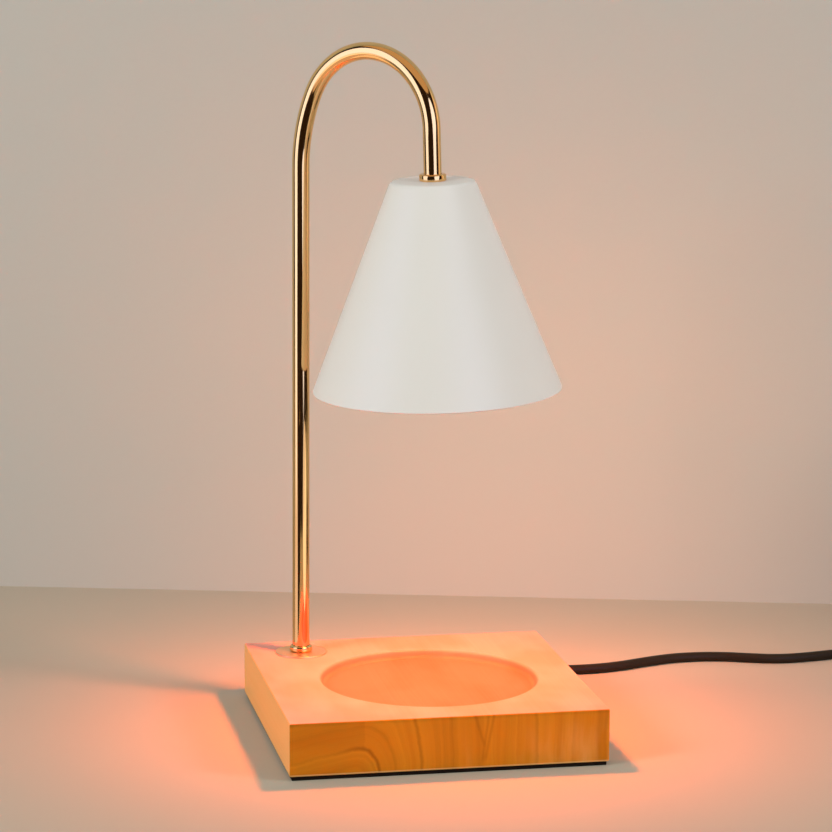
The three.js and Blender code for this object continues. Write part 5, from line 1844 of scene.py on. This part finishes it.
@dataclass
class Plug(Assembly):
    """The plug: its body with grips, two blades and a ribbed relief."""

    x: float = 0.391
    y: float = 0.046
    height: float = 0.015
    length: float = 0.030
    back_width: float = 0.015
    width: float = 0.026
    shoulder: float = 0.013
    corner: float = 0.0045
    back_round: float = 0.0016
    front_round: float = 0.0022
    spread: float = 0.00635
    blade_reach: float = 0.017
    blade_half: Flat = (0.00075, 0.00315)
    hole_radius: float = 0.0016
    hole_place: float = 0.0045
    hole_reach: float = 0.003
    socket_half: Flat = (0.00105, 0.00345)
    socket_depth: float = 0.005
    grips_count: int = 5
    grips_start: float = 0.0098
    grips_pitch: float = 0.0028
    grips_height: float = 0.00655
    grip_half: float = 0.0075
    grip_radius: float = 0.0006
    sleeve: Sleeve = Sleeve(root=0.0054, tip=0.0032, length=0.025, ribs=7, rib=0.0006)

    def build(self) -> None:
        """Builds and places all pieces."""
        here = at(self.x, self.y, self.height / 2)
        self.place(self.body(), RUBBER, ["plug_body"], here)
        for number, x in ((1, -self.spread), (2, self.spread)):
            self.place(self.blade(x, number), BRASS, [f"plug_blade_{number}"], here)
        relief = self.sleeve.mesh("plug_cord_relief", [(0, GAP), (self.sleeve.root, GAP)])
        self.place(relief, RUBBER, ["plug_relief"], towards((self.x, self.y, self.height / 2), 0, -1, 0))

    def section(self, inset: float, y: float) -> list[Point]:
        """The body's outline at a place along it.

        Args:
            inset: how far it is drawn in.
            y: the place.

        Returns:
            Its points.
        """
        share = min(max(y / self.shoulder, 0.0), 1.0)
        eased = share * share * (3 - 2 * share)
        half = (self.back_width + (self.width - self.back_width) * eased) / 2
        waist = math.sin(math.pi * min(max((y - 0.006) / 0.019, 0.0), 1.0)) ** 2
        tall = self.height / 2 - 0.0009 * waist - 0.0006 * (1 - eased)
        outline = rounded(2 * (half - inset), 2 * (tall - inset), max(self.corner - inset, 0.001), 6)
        return [(x, y, z) for x, z in outline]

    def body(self) -> Mesh:
        """The plug's body, with the blades' sockets cut and its grip ribs on.

        Returns:
            The mesh.
        """
        back, front = self.back_round, self.front_round
        places = [(back - dx, dz) for dx, dz in arc(0, back, back, -90, 0, 5)]
        places += [(0.0, self.length * i / 30) for i in range(3, 28)]
        places += [(front - dx, self.length - front + dz) for dx, dz in arc(0, 0, front, 0, 90, 6)]
        mesh = stacked("plug_housing", [self.section(inset, y) for inset, y in places])
        wide, tall = self.socket_half
        sockets = []
        for x in (-self.spread, self.spread):
            low = (x - wide, self.length - self.socket_depth, -tall)
            sockets.append(boxed("socket", low, (x + wide, self.length + OVERRUN, tall)))
        return joined("plug_housing", [cut(mesh, *sockets), self.grips()])

    def grips(self) -> Mesh:
        """The grip ribs on both broad sides.

        Returns:
            The mesh.
        """
        sizes = {"Count": self.grips_count, "Start": self.grips_start, "Pitch": self.grips_pitch}
        growth = Growth("grip_ribs", **sizes, Height=self.grips_height, Material=RUBBER.material())
        ends = {"Start": (-self.grip_half, 0, 0), "End": (self.grip_half, 0, 0)}
        line = growth.node("GeometryNodeCurvePrimitiveLine", ends, mode="POINTS")
        rib = growth.swept(line, 12, self.grip_radius, caps=True)
        both = growth.node("GeometryNodeJoinGeometry")
        for side in (1.0, -1.0):
            start = growth.vector(y=growth.size("Start"), z=growth.size("Height") * side)
            row = growth.row(start, growth.vector(y=growth.size("Pitch")))
            growth.feed(both.socket.node.inputs[0], growth.spread(row, rib))
        return growth.grown(both, bpy.data.meshes.new("grip_ribs"))

    def blade(self, x: float, number: int) -> Mesh:
        """One flat blade with its hole.

        Args:
            x: its place across.
            number: its number.

        Returns:
            The mesh.
        """
        wide, tall = self.blade_half
        low, tip = (x - wide, self.length - 0.0047, -tall), self.length + self.blade_reach
        where = towards((x, tip - self.hole_place, 0), 1, 0, 0)
        hole = rod(self.hole_radius, -self.hole_reach, self.hole_reach, 40, where)
        return cut(boxed(f"flat_blade_{number}", low, (x + wide, tip, tall), 0.0003), hole)


@dataclass
class Cords(Assembly):
    """The mains cord: from the block to the dimmer, and from there through the coil to the plug."""

    coil_x: float = 0.350
    coil_y: float = -0.034
    mean_radius: float = 0.030
    pitch: float = 0.0055
    turns: float = 6.25
    reverse: float = 0.5
    tie: float = 0.0008
    tie_half: float = 0.003

    LAMP_ROUTE = (
        (-0.008, 0.0973, 0.0122), (-0.008, 0.1028, 0.0122), (-0.0076, 0.1074, 0.0121), (-0.0062, 0.112, 0.0116),
        (-0.001, 0.1198, 0.0101), (0.0068, 0.125, 0.0081), (0.016, 0.1268, 0.006), (0.0254, 0.1248, 0.0044),
        (0.0346, 0.119, 0.0032), (0.0436, 0.111, 0.0025), (0.053, 0.103, 0.0025), (0.0635, 0.0958, 0.0025),
        (0.074, 0.0906, 0.0025), (0.0855, 0.0879, 0.0025), (0.0978, 0.0867, 0.0025), (0.1105, 0.0871, 0.0025),
        (0.1245, 0.0902, 0.0025), (0.1396, 0.096, 0.0025), (0.1548, 0.1004, 0.0025), (0.1693, 0.1011, 0.0025),
        (0.1829, 0.0988, 0.0025), (0.1956, 0.0942, 0.0025), (0.2042, 0.0914, 0.0025), (0.214, 0.0901, 0.0025),
        (0.228, 0.0916, 0.0025), (0.2402, 0.094, 0.0025), (0.252, 0.0956, 0.0025), (0.2635, 0.0949, 0.0025),
        (0.2746, 0.0914, 0.0029), (0.283, 0.084, 0.0046), (0.2872, 0.0746, 0.0069), (0.2878, 0.0704, 0.0076),
        (0.288, 0.0658, 0.008), (0.288, 0.0565, 0.008),
    )  # fmt: skip
    COIL_ROUTE = (
        (0.288, -0.0423, 0.008), (0.288, -0.0478, 0.008), (0.2885, -0.0526, 0.0078), (0.2899, -0.0573, 0.0072),
        (0.2953, -0.0653, 0.0058), (0.3033, -0.0707, 0.0044), (0.3128, -0.0726, 0.0037), (0.323, -0.0726, 0.0036),
        (0.334, -0.0726, 0.0036), (0.3447, -0.0726, 0.0036),
    )  # fmt: skip
    PLUG_ROUTE = (
        (0.3886, -0.0287, 0.0091), (0.3886, -0.0232, 0.0091), (0.3892, -0.011, 0.0082), (0.3904, 0.002, 0.0076),
        (0.391, 0.015, 0.0075), (0.391, 0.0207, 0.0075),
    )  # fmt: skip

    def __post_init__(self) -> None:
        """Finds the coil's innermost radius."""
        super().__post_init__()
        self.middle = self.turns / 2
        self.inner = self.mean_radius - self.pitch * self.middle / 2

    def coil(self) -> list[Vector]:
        """The middle of the coil, which spirals in, climbs a layer where it reverses, and spirals out.

        Returns:
            Its points.
        """
        low = self.tie + GAP + CORD_DIAMETER / 2
        steps = round(self.turns * 72)
        points = []
        for i in range(steps + 1):
            turn = self.turns * i / steps
            radius = self.inner + self.pitch * abs(turn - self.middle)
            climb = min(max((turn - self.middle) / self.reverse + 0.5, 0.0), 1.0)
            height = low + self.pitch * climb * climb * (3 - 2 * climb)
            angle = 2 * math.pi * turn - math.pi / 2
            x, y = self.coil_x + radius * math.cos(angle), self.coil_y + radius * math.sin(angle)
            points.append(Vector((x, y, height)))
        return points

    def build(self) -> None:
        """Builds and places both lengths of cord and the tie."""
        first = smooth_route(self.LAMP_ROUTE)
        second = [*smooth_route(self.COIL_ROUTE), *self.coil(), *smooth_route(self.PLUG_ROUTE)]
        self.lines = {"cord_from_lamp": first, "cord_to_plug_end": second}
        self.place(cord_mesh("cord_from_lamp", first, 24), JACKET, ["cord_to_dimmer"])
        self.place(cord_mesh("cord_to_plug_end", second, 16), JACKET, ["cord_to_coil", "cord_coil", "cord_to_plug"])
        self.place(self.strap(), FOAM, ["coil_tie"])

    def declare(self, dimmer: Dimmer, plug: Plug) -> None:
        """Lists the plug's pieces, and does nothing more with them.

        Args:
            dimmer: not used.
            plug: the plug, whose pieces are listed.
        """
        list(plug.pieces.values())

    def strap(self) -> Mesh:
        """The band round the coil's turns, with its end lapped over on top.

        Returns:
            The mesh.
        """
        reach = CORD_DIAMETER / 2 + GAP
        low, high = self.inner - reach, self.inner + self.pitch * (self.middle - 0.5) + reach
        top = 2 * self.tie + 2 * GAP + self.pitch + CORD_DIAMETER
        half, thin, centre = self.tie_half, self.tie, (low + high) / 2
        edge = [(0.0, half - 0.0003), (0.00012, half), (thin - 0.00012, half), (thin, half - 0.0003)]
        rings = []
        for inset, x in [*edge, *((inset, -x) for inset, x in reversed(edge))]:
            outline = rounded(high - low + 2 * thin - 2 * inset, top - 2 * inset, 0.002 - inset, 8)
            rings.append([(x, y + centre, z + top / 2) for y, z in outline])
        band = stacked("coil_strap", rings, closed=True)
        lap = boxed("lap", (-half, centre - 0.006, top), (half, centre + 0.0062, top + thin), 0.0003, 2)
        return moved(joined("coil_strap", [band, lap]), at(self.coil_x, self.coil_y))


class Fittings:
    """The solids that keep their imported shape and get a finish, which is steel unless another is given."""

    FINISHES = {
        RUBBER: ("mains_tail",),
        NYLON: ("cord_saddle", "terminal_block", "dimmer_wire_1", "dimmer_wire_2"),
        SLEEVING: ("inner_lead",),
        BRASS: ("holder_contact_1", "holder_contact_2", "dimmer_shaft"),
        BOARD: ("dimmer_board",),
        PLASTIC: ("dimmer_triac",),
    }

    def build(self, nodes: dict[str, Object]) -> None:
        """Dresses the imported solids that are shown.

        Args:
            nodes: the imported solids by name.
        """
        finishes = {name: finish for finish, names in self.FINISHES.items() for name in names}
        for name, node in nodes.items():
            if not node.hide_render:
                finish = finishes.get(name, STEEL)
                node.data.materials.clear()
                node.data.materials.append(finish.material())
                log.info("Fittings: %s in %s", name, finish.name)


# ---------------------------------------------------------------- studio


@dataclass
class Studio:
    """Camera, floor, wall and lights."""

    lens: float = 132.4856
    camera: Point = (-0.277861, -1.402966, 0.410745)
    right: Point = (0.981514785, -0.191286634, 0.006176529)
    up: Point = (0.027862118, 0.174743739, 0.984219654)
    back: Point = (-0.189347375, -0.965854052, 0.176843214)
    foot: Vector = Vector((0.0511, 0.2718, 0.0))
    along: Vector = Vector((0.967, -0.256, 0.0)).normalized()
    below: float = -0.00003

    PANELS = (
        ("left_box", (-1.44, -0.345, 0.6), (0.0, 0.03, 0.6), (1.3, 1.6), 10.6, (0.62, 0.68, 1.0)),
        ("left_low_box", (-1.44, -0.345, -0.33), (0.0, 0.03, -0.33), (1.1, 0.8), 2.0, (1.0, 0.82, 0.89)),
        ("right_box", (0.613, -1.314, 0.55), (0.0, 0.0, 0.55), (1.2, 1.35), 9.6, (0.54, 0.61, 1.0)),
        ("ceiling", (0.0, -0.3, 2.3), (0.0, -0.299, 0.0), (4.5, 4.5), 26.5, (1.0, 0.7, 0.45)),
        ("left_board", (-0.862, -0.088, -0.117), (-1.159, -0.13, 0.837), (0.9, 1.6), 2.5, (1.0, 0.71, 0.54)),
        ("dish_glow", (0.0, -0.01, 0.08), (-0.06, 0.045, 0.08), (0.07, 0.1), 0.0155, (1.0, 0.9, 0.95)),
        ("right_board", (0.847, 0.074, 0.45), (0.0, 0.0, 0.45), (0.9, 0.9), 1.2, (1.0, 0.7, 0.52)),
    )
    LIGHTS = (
        ("left_light", (-1.2, -0.6, 0.8), (0, 0, 0.15), (0.4, 0.4), 9.5, (0.9, 1.0, 0.88)),
        ("right_light", (1.1, -0.8, 0.8), (0, 0, 0.15), (0.35, 0.35), 7.5, (0.93, 1.0, 0.9)),
        ("wall_warmth", (0.06, 0.07, 0.12), (0.1, 0.3, 0.12), (0.3, 0.12), 0.192, (1.0, 0.542, 0.25)),
    )

    def aim(self) -> None:
        """Makes the camera at the photograph's place."""
        data = bpy.data.cameras.new("camera")
        data.lens, data.sensor_width = self.lens, 36.0
        data.clip_start, data.clip_end = 0.01, 50.0
        obj = linked("camera", data)
        turn = Matrix((self.right, self.up, self.back)).transposed().to_4x4()
        obj.matrix_world = at(*self.camera) @ turn
        bpy.context.scene.camera = obj

    def surface(
        self, name: str, corners: Sequence[Sequence[float]], colour: Colour, rough: float, fade: Flat = (40.0, 50.0)
    ) -> tuple[Object, Paint]:
        """A flat stage surface.

        Args:
            name: its name.
            corners: its corners.
            colour: its colour.
            rough: its roughness.
            fade: the distances between which it turns clear.

        Returns:
            The object and the tree of its material.
        """
        paint = Paint(name)
        x, y, _ = paint.parts(paint.where())
        paint.shade(Base_Color=colour, Roughness=rough, Alpha=1 - (x * x + y * y).root().step(*fade))
        paint.shade(Specular_IOR_Level=0.0)
        obj = held(raw(name, corners, [], [range(len(corners))]), paint.material)
        obj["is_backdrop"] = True
        return obj, paint

    def stage(self) -> None:
        """Lays the floor and stands the wall, which is clear from behind."""
        floor = tone(195, 174, 160)
        near = [(-0.16, 0.06, 0), (-0.16, -0.34, 0), (0.62, -0.34, 0)]
        near += [self.foot + self.along * 0.7, self.foot - self.along * 1.6, (-1.5, 0.27, 0)]
        self.surface("near_floor", near, floor, 0.6)
        sides = [(x, y, self.below) for x, y in ((-4, -4), (4, -4), (4, 4), (-4, 4))]
        far, _ = self.surface("far_floor", sides, floor, 0.6, (0.8, 2.2))
        far.visible_glossy = False
        left, right, rise = self.foot - self.along * 3.0, self.foot + self.along * 3.0, UPRIGHT * 2.4
        wall, paint = self.surface("wall", [left, right, right + rise, left + rise], tone(200, 186, 183), 0.8)
        wall.visible_shadow = False
        behind = paint.node("ShaderNodeNewGeometry", output="Backfacing")
        clear = paint.node("ShaderNodeBsdfTransparent")
        both = paint.node("ShaderNodeMixShader", {0: behind, 1: paint.shader, 2: clear})
        paint.feed(paint.end.socket, both)

    def softbox(self, name: str, place: Point, goal: Point, size: Flat, power: float, colour: Point) -> Object:
        """A soft area light.

        Args:
            name: its name.
            place: where it stands.
            goal: what it points at.
            size: its width and height.
            power: its power in watts.
            colour: its colour.

        Returns:
            The light.
        """
        data = bpy.data.lights.new(name, "AREA")
        data.shape, data.size, data.size_y = "ELLIPSE", size[0], size[1]
        data.energy, data.color = power, colour
        obj = linked(name, data)
        direction = Vector(goal) - Vector(place)
        obj.matrix_world = at(*place) @ direction.to_track_quat("-Z", "Y").to_matrix().to_4x4()
        obj.visible_camera = False
        return obj

    def glow(self) -> None:
        """The bulb's beam, which starts just under its glass."""
        data = bpy.data.lights.new("bulb_glow", "SPOT")
        data.spot_size, data.spot_blend = math.radians(150), 1.0
        data.shadow_soft_size, data.energy, data.color = 0.014, 4.16, (1.0, 0.173, 0.012)
        obj = linked("bulb_glow", data)
        obj.matrix_world = HEAD_PLACE @ at(0, 0, -0.089)
        obj.visible_camera = False

    def light(self) -> None:
        """Sets the panels that only the metal reflects, the lights that it doesn't, and the dim surroundings."""
        for panel in self.PANELS:
            self.softbox(*panel).visible_diffuse = False
        for light in self.LIGHTS:
            self.softbox(*light).visible_glossy = False
        self.glow()
        world = bpy.data.worlds.new("surroundings")
        bpy.context.scene.world = world
        world.use_nodes = True
        tree = Tree(world.node_tree)
        tree.tree.nodes.clear()
        path = tree.node("ShaderNodeLightPath", output="Is Camera Ray")
        soft, dim, pale = (
            tree.node("ShaderNodeBackground", {"Color": colour, "Strength": strength})
            for colour, strength in (
                ((0.68, 0.98, 0.98, 1.0), 0.47),
                (tone(120, 92, 70), 0.12),
                (tone(204, 190, 177), 1.0),
            )
        )
        lit = tree.node("ShaderNodeMixShader", {0: path.other("Is Glossy Ray"), 1: soft, 2: dim})
        both = tree.node("ShaderNodeMixShader", {0: path, 1: lit, 2: pale})
        tree.node("ShaderNodeOutputWorld", {"Surface": both})
        view = bpy.context.scene.view_settings
        view.view_transform, view.look, view.exposure, view.gamma = "Standard", "None", 0.0, 1.0


def corners(bounds: tuple[Vector, Vector]) -> list[list[float]]:
    """Both corners of a box as plain lists."""
    return [list(corner) for corner in bounds]


def main() -> None:
    """Builds the studio and the lamp."""
    logging.basicConfig(level=logging.INFO, format="%(message)s")
    for left_over in list(bpy.data.objects):
        bpy.data.objects.remove(left_over)
    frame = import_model()
    solid_box = corners(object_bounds())
    studio = Studio()
    studio.aim()
    cords, dimmer, plug = Cords(), Dimmer(), Plug()
    for assembly in (cords, dimmer, plug, WoodenBase(), BentTube(), Shade(), LampHead(), CordEntry()):
        assembly.build()
    cords.declare(dimmer, plug)
    Fittings().build(frame["nodes"])
    studio.stage()
    studio.light()
    bpy.context.view_layer.update()
    {"cad": solid_box, "visual": corners(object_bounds())}


if __name__ == "__main__":
    main()
